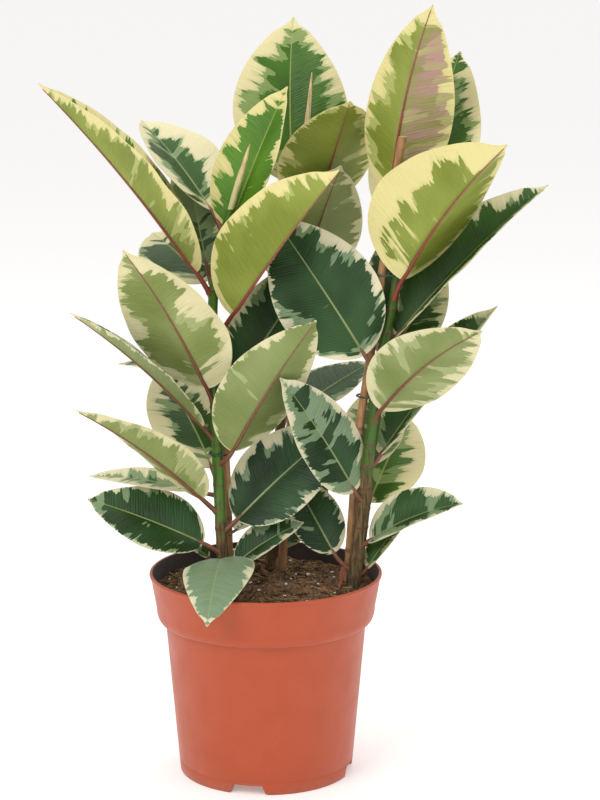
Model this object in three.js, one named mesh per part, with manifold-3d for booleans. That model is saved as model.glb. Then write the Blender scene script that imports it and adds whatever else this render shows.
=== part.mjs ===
// Potted rubber plant: three stems tied to bamboo canes, with variegated leaves, in a plastic
// nursery pot filled with peat. Millimetres, +Z up, the front of the plant faces -Y.
import * as THREE from "three";
import Module from "manifold-3d";

// ---- driving sizes -------------------------------------------------------------------------
const CLEARANCE = 0.3; // air left between neighbouring pieces
const FINEST = 0.02; // detail smaller than this is merged away

const POT = {
  height: 185,
  rimRadius: 105, // outside of the rolled rim
  footRadius: 78.4,
  wall: 1.8,
  beadHeight: 3.2,
  beadOut: 1.2, // how far the rolled rim stands proud of the collar
  collarHeight: 44, // deeper ring below the rim, down to the step
  collarTaper: 5, // how much the collar narrows from the bead to the shoulder
  shoulderDrop: 12, // height of the curved shoulder that ends the collar
  shoulderStep: 8, // how far the body sits inside the collar
  // points of the shoulder's curve: share of the step inwards, share of the drop upwards
  shoulderCurve: [[0.35, 0.2], [0.08, 0.6]],
  footHeight: 11, // band below the faint line round the foot
  footRing: 6, // width of the ring that the pot stands on
  footRingSlope: 3, // how much wider the ring is where it meets the floor
  floorRaise: 9, // underside of the floor above the table
  floorThick: 2,
  notches: 4, // drainage notches round the foot
  notchTurn: -101.5, // heading of the front notch, degrees
  notchTop: 26,
  notchBottom: 36,
  notchHeight: 9,
  notchReach: 14, // how far in from the foot's edge a notch starts
  notchDepth: 20, // how far out from there it is cut
  sides: 48,
};

// Soil: height at the wall, how much the middle stands above it, and where the rise levels out.
const SOIL = { level: 171, rise: 3, sides: 24, slope: [[0.75, 0.4], [0.4, 1]], lip: 2 };

// Stems and canes: waypoints of the centre line [x, y, z] and the radii at foot and top.
const STEMS = {
  left: {
    path: [
      [-37, 10, 150], [-42, 10, 257], [-45, 10, 345], [-47, 10, 400], [-45, 10, 445], [-38, 10, 482],
      [-30, 10, 512],
    ],
    radius: [5.6, 4],
  },
  right: {
    path: [
      [76, 0, 150], [87, 0, 236], [92, 0, 290], [98, 0, 330], [105, 0, 390], [113, 0, 430], [120, 2, 482],
    ],
    radius: [7, 4],
  },
  back: {
    path: [[3, 52, 150], [6, 62, 224], [13, 74, 305], [22, 80, 398], [31, 76, 510]],
    radius: [5.4, 4],
  },
};
const CANES = {
  left: { path: [[-32, 24, 140], [-35, 23, 263], [-37, 22, 310], [-39, 23, 356]], radius: 3.4 },
  right: {
    path: [
      [72, 16, 140], [78, 11, 234], [82, 9, 292], [86, 8, 330], [92, 6, 370], [103, 1, 455],
      [117, -10, 560], [120, -11, 578],
    ],
    radius: 4,
  },
  back: { path: [[13, 40, 140], [17, 50, 227], [24, 63, 330], [28, 67, 385]], radius: 4.2 },
};
// Wire ties: each loops round one stem and its cane at the given height.
const TIES = [
  { name: "tie_left", pair: "left", height: 291 },
  { name: "tie_right_low", pair: "right", height: 345 },
  { name: "tie_right_high", pair: "right", height: 455 },
];
const TIE_WIRE = 1.1;
const STEM_MESH = { sides: 10, rows: 10 };
const CANE_MESH = { sides: 8, rows: 7 };
const TIE_MESH = { sides: 5, rows: 20 };
const SPEAR_MESH = { sides: 6, rows: 4 };

// Blade: thickness, faces across and along, half width at foot and tip, how bluntly the outline
// closes towards each end, and how far the rows of faces crowd towards both ends.
const BLADE = {
  thick: 1, across: 4, along: 7, foot: 2.6, point: 0.7, footBlunt: 0.65, tipBlunt: 0.92, crowding: 0.6,
};
// Petiole: a small leaf's is slimmer, from the share `slimBase` up to full size at `fullWidth`.
const PETIOLE = {
  radius: 2.6, sides: 5, along: 4, intoBlade: 0.15, endRadius: 0.9, slimBase: 0.4, fullWidth: 60,
};

// Leaves, lowest first on each stem: height of the joint, length of the petiole, then in degrees the
// heading `turn` (0 = +X, 90 = away from the front) and the angle `rise` above level, each at the
// stem, at the foot of the blade and at its tip, `roll` of the blade about its midrib at foot and
// tip, `fold` of both halves and the `curl` that adds to it towards the edge, then length and width.
function leaf(at, petiole, turn, rise, roll, fold, curl, long, wide) {
  return { at, petiole, turn, rise, roll, fold, curl, long, wide };
}
const LEAVES = {
  left: [
    leaf(184, 18, [150, 160, 165], [25, 35, 25], [-20, -20], 20, 0, 50, 18),
    leaf(190, 22, [-90, -90, -100], [15, 25, -50], [8, 0], 5, -25, 130, 64),
    leaf(183, 15, [-40, -15, 10], [10, 45, 20], [35, 30], 15, 10, 74, 44),
    leaf(197, 22, [-150, -182, -190], [40, 26, 14], [-40, -40], 12, 0, 112, 68),
    leaf(214, 16, [0, 50, 60], [20, 15, 5], [0, 0], 10, 0, 42, 22),
    leaf(217, 20, [-25, 12, 18], [40, 45, 35], [50, 50], 10, 0, 130, 80),
    leaf(234, 25, [-155, -150, -150], [42, 45, 30], [30, 10], 20, 0, 156, 66),
    leaf(262, 18, [125, 122, 124], [50, 48, 28], [-10, -10], 10, 0, 120, 84),
    leaf(281, 24, [-50, -30, -28], [20, 60, 52], [-36, -36], 15, 0, 152, 84),
    leaf(252, 27, [150, 160, 160], [0, 10, -5], [-10, -10], 10, 0, 104, 44),
    leaf(300, 22, [-155, -168, -170], [53, 50, 35], [2, 2], 22, 0, 158, 54),
    leaf(330, 26, [-10, 20, 22], [40, 58, 48], [45, 50], 12, 0, 150, 76),
    leaf(334, 21, [-135, -138, -143], [60, 62, 50], [22, 25], 10, -20, 160, 98),
    leaf(352, 28, [110, 145, 152], [25, 8, -8], [-5, -5], 8, 0, 88, 46),
    leaf(391, 36, [-40, -32, -30], [50, 54, 48], [-10, -10], 62, 0, 174, 106),
    leaf(430, 22, [120, 125, 128], [45, 32, 15], [-15, -15], 10, 0, 90, 84),
    leaf(431, 30, [-155, -170, -173], [62, 56, 46], [-3, -3], 38, 0, 216, 92),
    leaf(440, 24, [135, 110, 102], [60, 56, 46], [0, 0], 20, 0, 124, 54),
    leaf(465, 30, [15, 14, 12], [70, 70, 64], [35, 35], 20, 0, 136, 72),
    leaf(489, 28, [120, 130, 133], [48, 42, 30], [0, 0], 22, 0, 124, 86),
  ],
  right: [
    leaf(178, 16, [-5, 0, 0], [20, 58, 46], [30, 30], 25, 0, 92, 34),
    leaf(184, 26, [180, 145, 132], [22, 55, 48], [-35, -35], 10, 0, 84, 50),
    leaf(205, 16, [-35, -28, -28], [40, 38, 14], [35, 35], 25, 0, 102, 60),
    leaf(238, 16, [60, 65, 65], [20, 38, 30], [20, 20], 10, 0, 110, 72),
    leaf(248, 17, [-120, -166, -160], [35, 62, 52], [-65, -62], 8, 0, 128, 68),
    leaf(268, 18, [75, 80, 80], [37, 44, 34], [0, 0], 10, 0, 95, 60),
    leaf(276, 21, [24, 20, 18], [43, 54, 44], [20, 20], 35, 0, 170, 66),
    leaf(322, 18, [-70, -52, -45], [52, 45, 26], [-40, -40], 10, 0, 152, 78),
    leaf(361, 18, [50, 42, 42], [40, 53, 45], [20, 20], 10, 0, 105, 66),
    leaf(364, 27, [-112, -192, -208], [42, 58, 50], [-76, -66], 8, 0, 146, 96),
    leaf(384, 20, [17, 11, 8], [52, 50, 38], [25, 25], 36, 0, 190, 80),
    leaf(392, 20, [70, 72, 68], [47, 60, 52], [0, 0], 10, 0, 112, 56),
    leaf(425, 30, [-60, -40, -32], [70, 58, 42], [-30, -28], 33, 0, 164, 126),
    leaf(470, 24, [52, 54, 54], [50, 66, 58], [0, 0], 10, 0, 176, 112),
    leaf(478, 47, [-35, -30, -30], [118, 86, 68], [-85, -85], 24, 0, 173, 91),
  ],
  back: [
    leaf(176, 12, [-160, -155, -150], [15, 25, 5], [0, 0], 10, 0, 40, 36),
    leaf(182, 15, [-15, 20, 50], [33, 55, 50], [20, 20], 10, 0, 80, 46),
    leaf(304, 16, [40, 35, 33], [34, 28, 18], [10, 10], 10, 0, 100, 66),
    leaf(398, 33, [-53, -45, -43], [60, 72, 62], [-20, -20], 10, 0, 130, 104),
    leaf(470, 35, [2, -48, -72], [45, 69, 51], [-5, -5], 10, 0, 124, 99),
    leaf(503, 28, [125, 105, 75], [40, 78, 70], [0, 0], 12, 0, 152, 108),
  ],
};

// New leaves still rolled in their sheaths at the growing tips.
const SPEARS = [
  { name: "spear_left", stem: "left", lean: [-25, 72], long: 62, radius: 3.2 },
  { name: "spear_back", stem: "back", lean: [30, 84], long: 118, radius: 3.2 },
];
const SPEAR_SEAT = 1.5; // how far the sheath's foot reaches down round the stem's top
const SPEAR_POINT = 0.4; // share of the foot's girth left at the tip

const FINISH = {
  pot: { color: 0xbc5638, roughness: 0.55 },
  soil: { color: 0x4a3322, roughness: 0.95 },
  bark: { color: 0x6b5330, roughness: 0.85 },
  cane: { color: 0xa77b50, roughness: 0.6 },
  tie: { color: 0x1e3a2a, roughness: 0.5 },
  leaf: { color: 0x5d7a4a, roughness: 0.4 },
  spear: { color: 0xd8d3a0, roughness: 0.45 },
};

// ---- shared helpers ------------------------------------------------------------------------
const wasm = await Module();
wasm.setup();

const radians = THREE.MathUtils.degToRad;
const mix = THREE.MathUtils.lerp;

/** Joins the vertices of a geometry that share a place, and hands it to the solid kernel. */
function toSolid(geometry) {
  const place = geometry.getAttribute("position");
  const seen = new Map();
  const points = [];
  const order = [];
  for (let i = 0; i < place.count; i++) {
    const key = [place.getX(i), place.getY(i), place.getZ(i)].map((v) => Math.round(v * 1e4)).join();
    if (!seen.has(key)) {
      seen.set(key, seen.size);
      points.push(place.getX(i), place.getY(i), place.getZ(i));
    }
    order.push(seen.get(key));
  }
  const index = geometry.index ? Array.from(geometry.index.array, (i) => order[i]) : order;
  const corners = [];
  for (let i = 0; i < index.length; i += 3) {
    const [a, b, c] = index.slice(i, i + 3);
    if (a !== b && b !== c && c !== a) corners.push(a, b, c);
  }
  return new wasm.Manifold(new wasm.Mesh({
    numProp: 3,
    vertProperties: new Float32Array(points),
    triVerts: new Uint32Array(corners),
  }));
}

function toGeometry(solid) {
  const mesh = solid.simplify(FINEST).getMesh();
  const geometry = new THREE.BufferGeometry();
  geometry.setAttribute("position", new THREE.BufferAttribute(mesh.vertProperties, 3));
  geometry.setIndex(new THREE.BufferAttribute(mesh.triVerts, 1));
  geometry.computeVertexNormals();
  return geometry;
}

/** Moves every vertex of a geometry to where `place` sends it. */
function deform(geometry, place) {
  const position = geometry.getAttribute("position");
  for (let i = 0; i < position.count; i++) {
    const to = place(position.getX(i), position.getY(i), position.getZ(i));
    position.setXYZ(i, to.x, to.y, to.z);
  }
  return geometry;
}

/** Smooth centre line through waypoints, with the point at a given height. */
class Line {
  constructor(path) {
    this.curve = new THREE.CatmullRomCurve3(path.map((p) => new THREE.Vector3(...p)));
  }

  /** Share of the line, foot to top, that lies below a height. */
  fraction(z) {
    let low = 0;
    let high = 1;
    for (let i = 0; i < 30; i++) {
      const middle = (low + high) / 2;
      if (this.curve.getPoint(middle).z < z) low = middle;
      else high = middle;
    }
    return low;
  }

  atHeight(z) {
    return this.curve.getPoint(this.fraction(z));
  }

  get top() {
    return this.curve.getPoint(1);
  }
}

/** Round bar along a line, its radius changing evenly from foot to top. */
function bar(line, radii, { sides, rows }) {
  const shape = new THREE.CylinderGeometry(1, 1, 1, sides, rows);
  return deform(shape, (x, y, z) => {
    const along = y + 0.5;
    const centre = line.curve.getPoint(along);
    const radius = mix(radii[0], radii[1], along);
    return new THREE.Vector3(centre.x + x * radius, centre.y - z * radius, centre.z);
  });
}

// ---- pot and soil --------------------------------------------------------------------------
/** Outside radius of the straight body at a height. */
function bodyRadius(z) {
  const top = POT.rimRadius - POT.beadOut - POT.collarTaper - POT.shoulderStep;
  const stepHeight = POT.height - POT.collarHeight;
  return mix(POT.footRadius, top, z / stepHeight);
}

function lathe(profile, sides) {
  const shape = new THREE.LatheGeometry(profile.map(([r, z]) => new THREE.Vector2(r, z)), sides);
  return shape.rotateX(Math.PI / 2);
}

function pot() {
  const { height, rimRadius, wall, beadHeight, beadOut, collarHeight } = POT;
  const collarTop = rimRadius - beadOut;
  const collarFoot = collarTop - POT.collarTaper;
  const step = height - collarHeight;
  const floorTop = POT.floorRaise + POT.floorThick;
  const profile = [
    [0, POT.floorRaise],
    [POT.footRadius - POT.footRing - POT.footRingSlope, POT.floorRaise],
    [POT.footRadius - POT.footRing, 0],
    [POT.footRadius, 0],
    [bodyRadius(POT.footHeight), POT.footHeight],
    [bodyRadius(step), step],
    ...POT.shoulderCurve.map(([inward, upward]) => [
      collarFoot - POT.shoulderStep * inward,
      step + POT.shoulderDrop * upward,
    ]),
    [collarFoot, step + POT.shoulderDrop],
    [collarTop, height - beadHeight],
    [rimRadius, height - beadHeight * 0.85],
    [rimRadius, height - beadHeight * 0.25],
    [rimRadius - beadOut, height],
    [collarTop - wall, height - 0.4],
    [collarFoot - wall, step + POT.shoulderDrop],
    [bodyRadius(step) - wall, step - 1],
    [bodyRadius(floorTop) - wall, floorTop],
    [0, floorTop],
  ];
  let solid = toSolid(lathe(profile, POT.sides));
  for (let i = 0; i < POT.notches; i++) {
    const outline = new THREE.Shape([
      new THREE.Vector2(-POT.notchBottom / 2, -1),
      new THREE.Vector2(POT.notchBottom / 2, -1),
      new THREE.Vector2(POT.notchTop / 2, POT.notchHeight),
      new THREE.Vector2(-POT.notchTop / 2, POT.notchHeight),
    ]);
    const cutter = new THREE.ExtrudeGeometry(outline, { depth: POT.notchDepth, bevelEnabled: false });
    cutter.rotateX(Math.PI / 2).rotateZ(Math.PI / 2);
    cutter.translate(POT.footRadius - POT.notchReach, 0, 0);
    cutter.rotateZ(radians(POT.notchTurn + (i * 360) / POT.notches));
    solid = solid.subtract(toSolid(cutter));
  }
  return solid;
}

function soil(inserts) {
  const floor = POT.floorRaise + POT.floorThick + CLEARANCE;
  const inside = POT.wall + CLEARANCE;
  const step = POT.height - POT.collarHeight;
  const collarFoot = POT.rimRadius - POT.beadOut - POT.collarTaper;
  const profile = [
    [0, floor],
    [bodyRadius(floor) - inside, floor],
    [bodyRadius(step) - inside, step - 1],
    [collarFoot - inside, step + POT.shoulderDrop + CLEARANCE],
    [collarFoot - inside + SOIL.lip, SOIL.level],
    ...SOIL.slope.map(([out, up]) => [bodyRadius(step) * out, SOIL.level + SOIL.rise * up]),
    [0, SOIL.level + SOIL.rise],
  ];
  let solid = toSolid(lathe(profile, SOIL.sides));
  for (const insert of inserts) solid = solid.subtract(insert);
  return solid;
}

// ---- leaves --------------------------------------------------------------------------------
/** Half width of a blade at `u` from foot to tip, 1 at its widest. */
function outline(u) {
  const { footBlunt: a, tipBlunt: b } = BLADE;
  const peak = a / (a + b);
  return (u ** a * (1 - u) ** b) / (peak ** a * (1 - peak) ** b);
}

/** Value of a three-point property: at the stem, the foot of the blade and the tip. */
function threePoint(values, leaf, s) {
  if (s < leaf.petiole) return mix(values[0], values[1], s / leaf.petiole);
  return mix(values[1], values[2], Math.min(1, (s - leaf.petiole) / leaf.long));
}

/** Unit vector with a heading and an angle above level, in radians. */
function direction(turn, rise) {
  return new THREE.Vector3(
    Math.cos(rise) * Math.cos(turn),
    Math.cos(rise) * Math.sin(turn),
    Math.sin(rise),
  );
}

/** Place and axes on the midrib at distance `s` from the stem's centre line. */
function midrib(leaf, start, s) {
  const step = 2;
  const point = start.clone();
  const along = new THREE.Vector3();
  let done = 0;
  const aim = (distance) => {
    const turn = radians(threePoint(leaf.turn, leaf, distance));
    const rise = radians(threePoint(leaf.rise, leaf, distance));
    along.copy(direction(turn, rise));
    return turn;
  };
  while (done < s) {
    const stride = Math.min(step, s - done);
    aim(done + stride / 2);
    point.addScaledVector(along, stride);
    done += stride;
  }
  const turn = aim(s);
  const level = new THREE.Vector3(-Math.sin(turn), Math.cos(turn), 0);
  const above = new THREE.Vector3().crossVectors(along, level);
  const u = THREE.MathUtils.clamp((s - leaf.petiole) / leaf.long, 0, 1);
  const roll = radians(mix(leaf.roll[0], leaf.roll[1], u));
  const side = level.clone().multiplyScalar(Math.cos(roll)).addScaledVector(above, Math.sin(roll));
  const up = new THREE.Vector3().crossVectors(along, side);
  return { point, along: along.clone(), side, up };
}

function blade(leaf, start) {
  const shape = new THREE.BoxGeometry(2, BLADE.thick, 1, BLADE.across, 1, BLADE.along);
  return deform(shape, (x, y, z) => {
    const even = 0.5 + z;
    const u = even - (Math.sin(2 * Math.PI * even) * BLADE.crowding) / (2 * Math.PI);
    const at = midrib(leaf, start, leaf.petiole + u * leaf.long);
    const half = mix(BLADE.foot, BLADE.point, u) + (leaf.wide / 2 - BLADE.foot) * outline(u);
    const distance = Math.abs(x);
    const lift = radians(leaf.fold + (leaf.curl * distance) / 2);
    const facing = radians(leaf.fold + leaf.curl * distance) * Math.sign(x);
    return at.point
      .addScaledVector(at.side, x * half * Math.cos(lift) - y * Math.sin(facing))
      .addScaledVector(at.up, distance * half * Math.sin(lift) + y * Math.cos(facing));
  });
}

function petiole(leaf, start) {
  const reach = leaf.petiole + PETIOLE.intoBlade * leaf.long;
  const slim = Math.min(1, PETIOLE.slimBase + (1 - PETIOLE.slimBase) * (leaf.wide / PETIOLE.fullWidth));
  const shape = new THREE.CylinderGeometry(1, 1, 1, PETIOLE.sides, PETIOLE.along);
  return deform(shape, (x, y, z) => {
    const s = (y + 0.5) * reach;
    const at = midrib(leaf, start, s);
    const taper = Math.max(0, (s - leaf.petiole) / (reach - leaf.petiole));
    const radius = slim * mix(PETIOLE.radius, PETIOLE.endRadius, taper);
    return at.point.addScaledVector(at.side, x * radius).addScaledVector(at.up, -z * radius);
  });
}

/** Blade and petiole as one solid, its end shaped to the stem it springs from. */
function leafSolid(leaf, line, stemSpace) {
  const start = line.atHeight(leaf.at);
  return toSolid(blade(leaf, start)).add(toSolid(petiole(leaf, start))).subtract(stemSpace);
}

function spear(item, line, stemSpace) {
  const shape = new THREE.CylinderGeometry(SPEAR_POINT, 1, 1, SPEAR_MESH.sides, SPEAR_MESH.rows);
  const start = line.top;
  const [turn, rise] = item.lean.map(radians);
  const along = direction(turn, rise);
  const side = new THREE.Vector3(-Math.sin(turn), Math.cos(turn), 0);
  const up = new THREE.Vector3().crossVectors(along, side);
  const solid = deform(shape, (x, y, z) => {
    const u = y + 0.5;
    const radius = item.radius * Math.sqrt(Math.max(0.02, 1 - u ** 2));
    return start.clone().addScaledVector(along, u * item.long - SPEAR_SEAT)
      .addScaledVector(side, x * radius).addScaledVector(up, -z * radius);
  });
  return toSolid(solid).subtract(stemSpace);
}

// ---- ties ----------------------------------------------------------------------------------
/** Wire loop lying level round a stem and the cane beside it. */
function tie(item, lines) {
  const stem = lines.stems[item.pair].atHeight(item.height);
  const cane = lines.canes[item.pair].atHeight(item.height);
  const gap = CLEARANCE + TIE_WIRE;
  const [foot, top] = STEMS[item.pair].radius;
  const thickest = mix(foot, top, lines.stems[item.pair].fraction(item.height));
  const apart = Math.hypot(stem.x - cane.x, stem.y - cane.y);
  const long = apart / 2 + thickest + gap;
  const short = Math.sqrt(thickest * long) + gap;
  const heading = Math.atan2(cane.y - stem.y, cane.x - stem.x);
  const shape = new THREE.TorusGeometry(1, 1, TIE_MESH.sides, TIE_MESH.rows);
  return toSolid(deform(shape, (x, y, z) => {
    const angle = Math.atan2(y, x);
    const out = (Math.hypot(x, y) - 1) * TIE_WIRE;
    const ring = new THREE.Vector2(Math.cos(angle) * (long + out), Math.sin(angle) * (short + out));
    ring.rotateAround(new THREE.Vector2(), heading);
    return new THREE.Vector3(
      (stem.x + cane.x) / 2 + ring.x,
      (stem.y + cane.y) / 2 + ring.y,
      item.height + z * TIE_WIRE,
    );
  }));
}

// ---- the whole plant -----------------------------------------------------------------------
const plant = new THREE.Group();
plant.name = "potted_rubber_plant";

function addPiece(name, solid, finish) {
  const material = new THREE.MeshStandardMaterial({ ...FINISH[finish], metalness: 0, name: finish });
  const mesh = new THREE.Mesh(toGeometry(solid), material);
  mesh.name = name;
  plant.add(mesh);
}

const lines = { stems: {}, canes: {} };
const stemSpace = {};
const inserts = [];
for (const [key, stem] of Object.entries(STEMS)) {
  const line = new Line(stem.path);
  lines.stems[key] = line;
  const wider = stem.radius.map((r) => r + CLEARANCE);
  stemSpace[key] = toSolid(bar(line, wider, STEM_MESH));
  inserts.push(stemSpace[key]);
  addPiece(`stem_${key}`, toSolid(bar(line, stem.radius, STEM_MESH)), "bark");
}
for (const [key, cane] of Object.entries(CANES)) {
  const line = new Line(cane.path);
  lines.canes[key] = line;
  const wider = cane.radius + CLEARANCE;
  inserts.push(toSolid(bar(line, [wider, wider], CANE_MESH)));
  addPiece(`cane_${key}`, toSolid(bar(line, [cane.radius, cane.radius], CANE_MESH)), "cane");
}
addPiece("pot", pot(), "pot");
addPiece("soil", soil(inserts), "soil");
for (const item of TIES) addPiece(item.name, tie(item, lines), "tie");
for (const [stem, leaves] of Object.entries(LEAVES)) {
  leaves.forEach((item, index) => {
    const name = `leaf_${stem}_${String(index + 1).padStart(2, "0")}`;
    addPiece(name, leafSolid(item, lines.stems[stem], stemSpace[stem]), "leaf");
  });
}
for (const item of SPEARS) {
  addPiece(item.name, spear(item, lines.stems[item.stem], stemSpace[item.stem]), "spear");
}

// The origin is the middle of the plant's footprint, level with the table.
const bounds = new THREE.Box3().setFromObject(plant);
const middle = bounds.getCenter(new THREE.Vector3());
for (const mesh of plant.children) mesh.geometry.translate(-middle.x, -middle.y, 0);

export default plant;
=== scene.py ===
"""Potted variegated rubber plant: three rooted stems on bamboo canes in a terracotta-coloured nursery pot."""

import functools
import logging
import math
import random
from dataclasses import dataclass
from enum import Enum
from typing import Callable, Optional, Sequence

import bmesh
import bpy
from bmesh.types import BMesh, BMVert
from bpy.types import Material, NodeSocket, NodeTree, Object
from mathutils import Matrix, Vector, noise


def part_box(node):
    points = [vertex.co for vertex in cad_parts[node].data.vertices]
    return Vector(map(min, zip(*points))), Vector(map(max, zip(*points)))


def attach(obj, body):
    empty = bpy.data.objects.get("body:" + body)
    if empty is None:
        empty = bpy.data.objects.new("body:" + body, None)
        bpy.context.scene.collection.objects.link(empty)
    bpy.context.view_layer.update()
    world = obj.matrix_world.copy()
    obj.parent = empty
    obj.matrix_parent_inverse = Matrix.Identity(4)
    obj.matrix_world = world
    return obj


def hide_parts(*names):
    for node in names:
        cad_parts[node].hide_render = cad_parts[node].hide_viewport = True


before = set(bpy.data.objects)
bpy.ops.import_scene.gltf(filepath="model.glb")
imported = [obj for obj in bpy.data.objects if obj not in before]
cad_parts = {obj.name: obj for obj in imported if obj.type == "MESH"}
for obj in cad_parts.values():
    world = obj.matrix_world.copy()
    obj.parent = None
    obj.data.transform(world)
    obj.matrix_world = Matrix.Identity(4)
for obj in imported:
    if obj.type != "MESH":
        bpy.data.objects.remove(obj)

log = logging.getLogger("rubber_plant")
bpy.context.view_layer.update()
MM = 0.001
Place = Callable[[float, float, BMVert], Vector]
Station = tuple[float, float, Vector, Vector, Vector, Vector]


class Limb(Enum):
    """The three rooted cuttings, by where they stand in the pot."""

    LEFT = "left"
    RIGHT = "right"
    BACK = "back"


class Slot(Enum):
    """Material slots of the record, one for each kind of piece."""

    POT = "pot_plastic"
    SOIL = "potting_soil"
    BARK = "stem_bark"
    CANE = "bamboo"
    TIE = "tie_wire"
    LEAF = "leaf"
    SHEATH = "leaf_sheath"


# ---- shared helpers ------------------------------------------------------------------------
def mix(a: float, b: float, t: float) -> float:
    """Value a share t of the way from a to b."""
    return a + (b - a) * t


def smooth(low: float, high: float, value: float) -> float:
    """Smooth step from 0 at low to 1 at high."""
    t = min(1.0, max(0.0, (value - low) / (high - low)))
    return t * t * (3 - 2 * t)


def heading(turn: float, rise: float) -> Vector:
    """Unit vector with a heading and an angle above level, in radians."""
    return Vector((math.cos(rise) * math.cos(turn), math.cos(rise) * math.sin(turn), math.sin(rise)))


def linear(colour: str) -> tuple[float, float, float, float]:
    """Turns an sRGB hex colour into the linear colour a shader takes.

    Args:
        colour: six hex digits after a hash.

    Returns:
        Linear red, green, blue and an alpha of 1.
    """
    channels = [int(colour[i : i + 2], 16) / 255 for i in (1, 3, 5)]
    r, g, b = [c / 12.92 if c <= 0.04045 else ((c + 0.055) / 1.055) ** 2.4 for c in channels]
    return r, g, b, 1.0


def add(
    tree: NodeTree, kind: str, inputs: Optional[dict] = None, out: int | str = 0, **settings
) -> NodeSocket:
    """Adds one shader node with its settings and links.

    Args:
        tree: node tree to add to.
        kind: node type without its ShaderNode prefix.
        inputs: input name or number to a socket, a hex colour or a plain value.
        out: output to hand back.
        settings: properties of the node.

    Returns:
        The chosen output socket.
    """
    node = tree.nodes.new(f"ShaderNode{kind}")
    for name, value in settings.items():
        setattr(node, name, value)
    for name, value in (inputs or {}).items():
        if isinstance(value, NodeSocket):
            tree.links.new(value, node.inputs[name])
        else:
            node.inputs[name].default_value = linear(value) if isinstance(value, str) else value
    return node.outputs[out]


def cells(size_mm: float) -> float:
    """Repeats in a metre of a pattern whose cells are this size."""
    return 1 / (size_mm * MM)


def parts(tree: NodeTree, name: str) -> Sequence[NodeSocket]:
    """The three numbers of a vertex attribute."""
    data = add(tree, "Attribute", out="Vector", attribute_name=name)
    return add(tree, "SeparateXYZ", {0: data}).node.outputs


def strands(tree: NodeTree, at: NodeSocket, size_mm: Sequence[float], detail: float) -> NodeSocket:
    """Noise whose cells have their own size in each direction, in millimetres."""
    place = add(tree, "VectorMath", {0: at, 1: [cells(mm) for mm in size_mm]}, operation="MULTIPLY")
    return add(tree, "TexNoise", {"Vector": place, "Scale": 1.0, "Detail": detail})


def tint(
    tree: NodeTree,
    value: NodeSocket,
    span: tuple[float, float],
    colours: tuple[NodeSocket | str, NodeSocket | str],
    share: tuple[float, float] = (0.0, 1.0),
) -> NodeSocket:
    """Mixes a second colour into a first as a value crosses a span.

    Args:
        tree: node tree to add to.
        value: what the mix follows.
        span: values at which the mix starts and ends.
        colours: the first colour and the second.
        share: share of the second colour at each end of the span.

    Returns:
        The mixed colour.
    """
    where = add(tree, "MapRange", {0: value, 1: span[0], 2: span[1], 3: share[0], 4: share[1]})
    return add(tree, "Mix", {0: where, 6: colours[0], 7: colours[1]}, 2, data_type="RGBA")


def blank(name: str) -> tuple[Material, NodeTree]:
    """An empty node material and its tree.

    Args:
        name: name of the material.

    Returns:
        The material and its node tree.
    """
    material = bpy.data.materials.new(name)
    material.use_nodes = True
    material.node_tree.nodes.clear()
    return material, material.node_tree


def close(tree: NodeTree, inputs: dict) -> None:
    """Ends a material with a Principled shader that takes these inputs.

    Args:
        tree: node tree of the material.
        inputs: inputs of the shader.
    """
    shader = add(tree, "BsdfPrincipled", inputs)
    node = tree.nodes.new("ShaderNodeOutputMaterial")
    tree.links.new(shader, node.inputs["Surface"])


class Line:
    """Smooth centre line through waypoints, in millimetres."""

    def __init__(self, path: Sequence[Sequence[float]]) -> None:
        """Keeps the waypoints."""
        self.points = [Vector(p) for p in path]

    def point(self, t: float) -> Vector:
        """Point a share t of the way along, on a centripetal spline.

        Args:
            t: 0 at the foot, 1 at the top.

        Returns:
            The point.
        """
        pts = self.points
        place = min(1.0, max(0.0, t)) * (len(pts) - 1)
        i = min(int(place), len(pts) - 2)
        w = place - i
        b, c = pts[i], pts[i + 1]
        a = pts[i - 1] if i > 0 else b * 2 - c
        d = pts[i + 2] if i + 2 < len(pts) else c * 2 - b
        gaps = [math.sqrt((q - p).length) for p, q in ((a, b), (b, c), (c, d))]
        t0 = ((b - a) / gaps[0] - (c - a) / (gaps[0] + gaps[1]) + (c - b) / gaps[1]) * gaps[1]
        t1 = ((c - b) / gaps[1] - (d - b) / (gaps[1] + gaps[2]) + (d - c) / gaps[2]) * gaps[1]
        return b + t0 * w + (c * 3 - b * 3 - t0 * 2 - t1) * w**2 + (b * 2 - c * 2 + t0 + t1) * w**3

    def fraction(self, z: float) -> float:
        """Share of the line, foot to top, that lies below a height.

        Args:
            z: height in millimetres.

        Returns:
            Share of the length, 0 at the foot and 1 at the top.
        """
        low, high = 0.0, 1.0
        for _ in range(30):
            middle = (low + high) / 2
            low, high = (middle, high) if self.point(middle).z < z else (low, middle)
        return low

    def at_height(self, z: float) -> Vector:
        """Point of the line at a height."""
        return self.point(self.fraction(z))


def sheet(bm: BMesh, columns: int, rows: int, place: Place) -> list[BMVert]:
    """Adds a grid and moves every point to where place sends it.

    Args:
        bm: mesh to add to.
        columns: faces across.
        rows: faces along.
        place: takes the shares across and along, 0 to 1, and the vertex.

    Returns:
        The new vertices.
    """
    made = bmesh.ops.create_grid(bm, x_segments=columns, y_segments=rows, size=0.5)["verts"]
    for vert in made:
        vert.co = place(vert.co.x + 0.5, vert.co.y + 0.5, vert)
    return made


def sleeve(bm: BMesh, sides: int, rows: int, place: Place) -> list[BMVert]:
    """Adds a closed round body: a grid whose two edges meet, with both ends filled.

    Args:
        bm: mesh to add to.
        sides: faces round.
        rows: faces along.
        place: takes the angle in radians and the share along, and the vertex.

    Returns:
        The new vertices.
    """
    made = sheet(bm, sides, rows, lambda x, y, v: place(x * math.tau, y, v))
    bmesh.ops.remove_doubles(bm, verts=made, dist=1e-4)
    made = [v for v in made if v.is_valid]
    rim = {e for v in made for e in v.link_edges if e.is_boundary}
    bmesh.ops.holes_fill(bm, edges=list(rim), sides=0)
    return made


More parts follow.
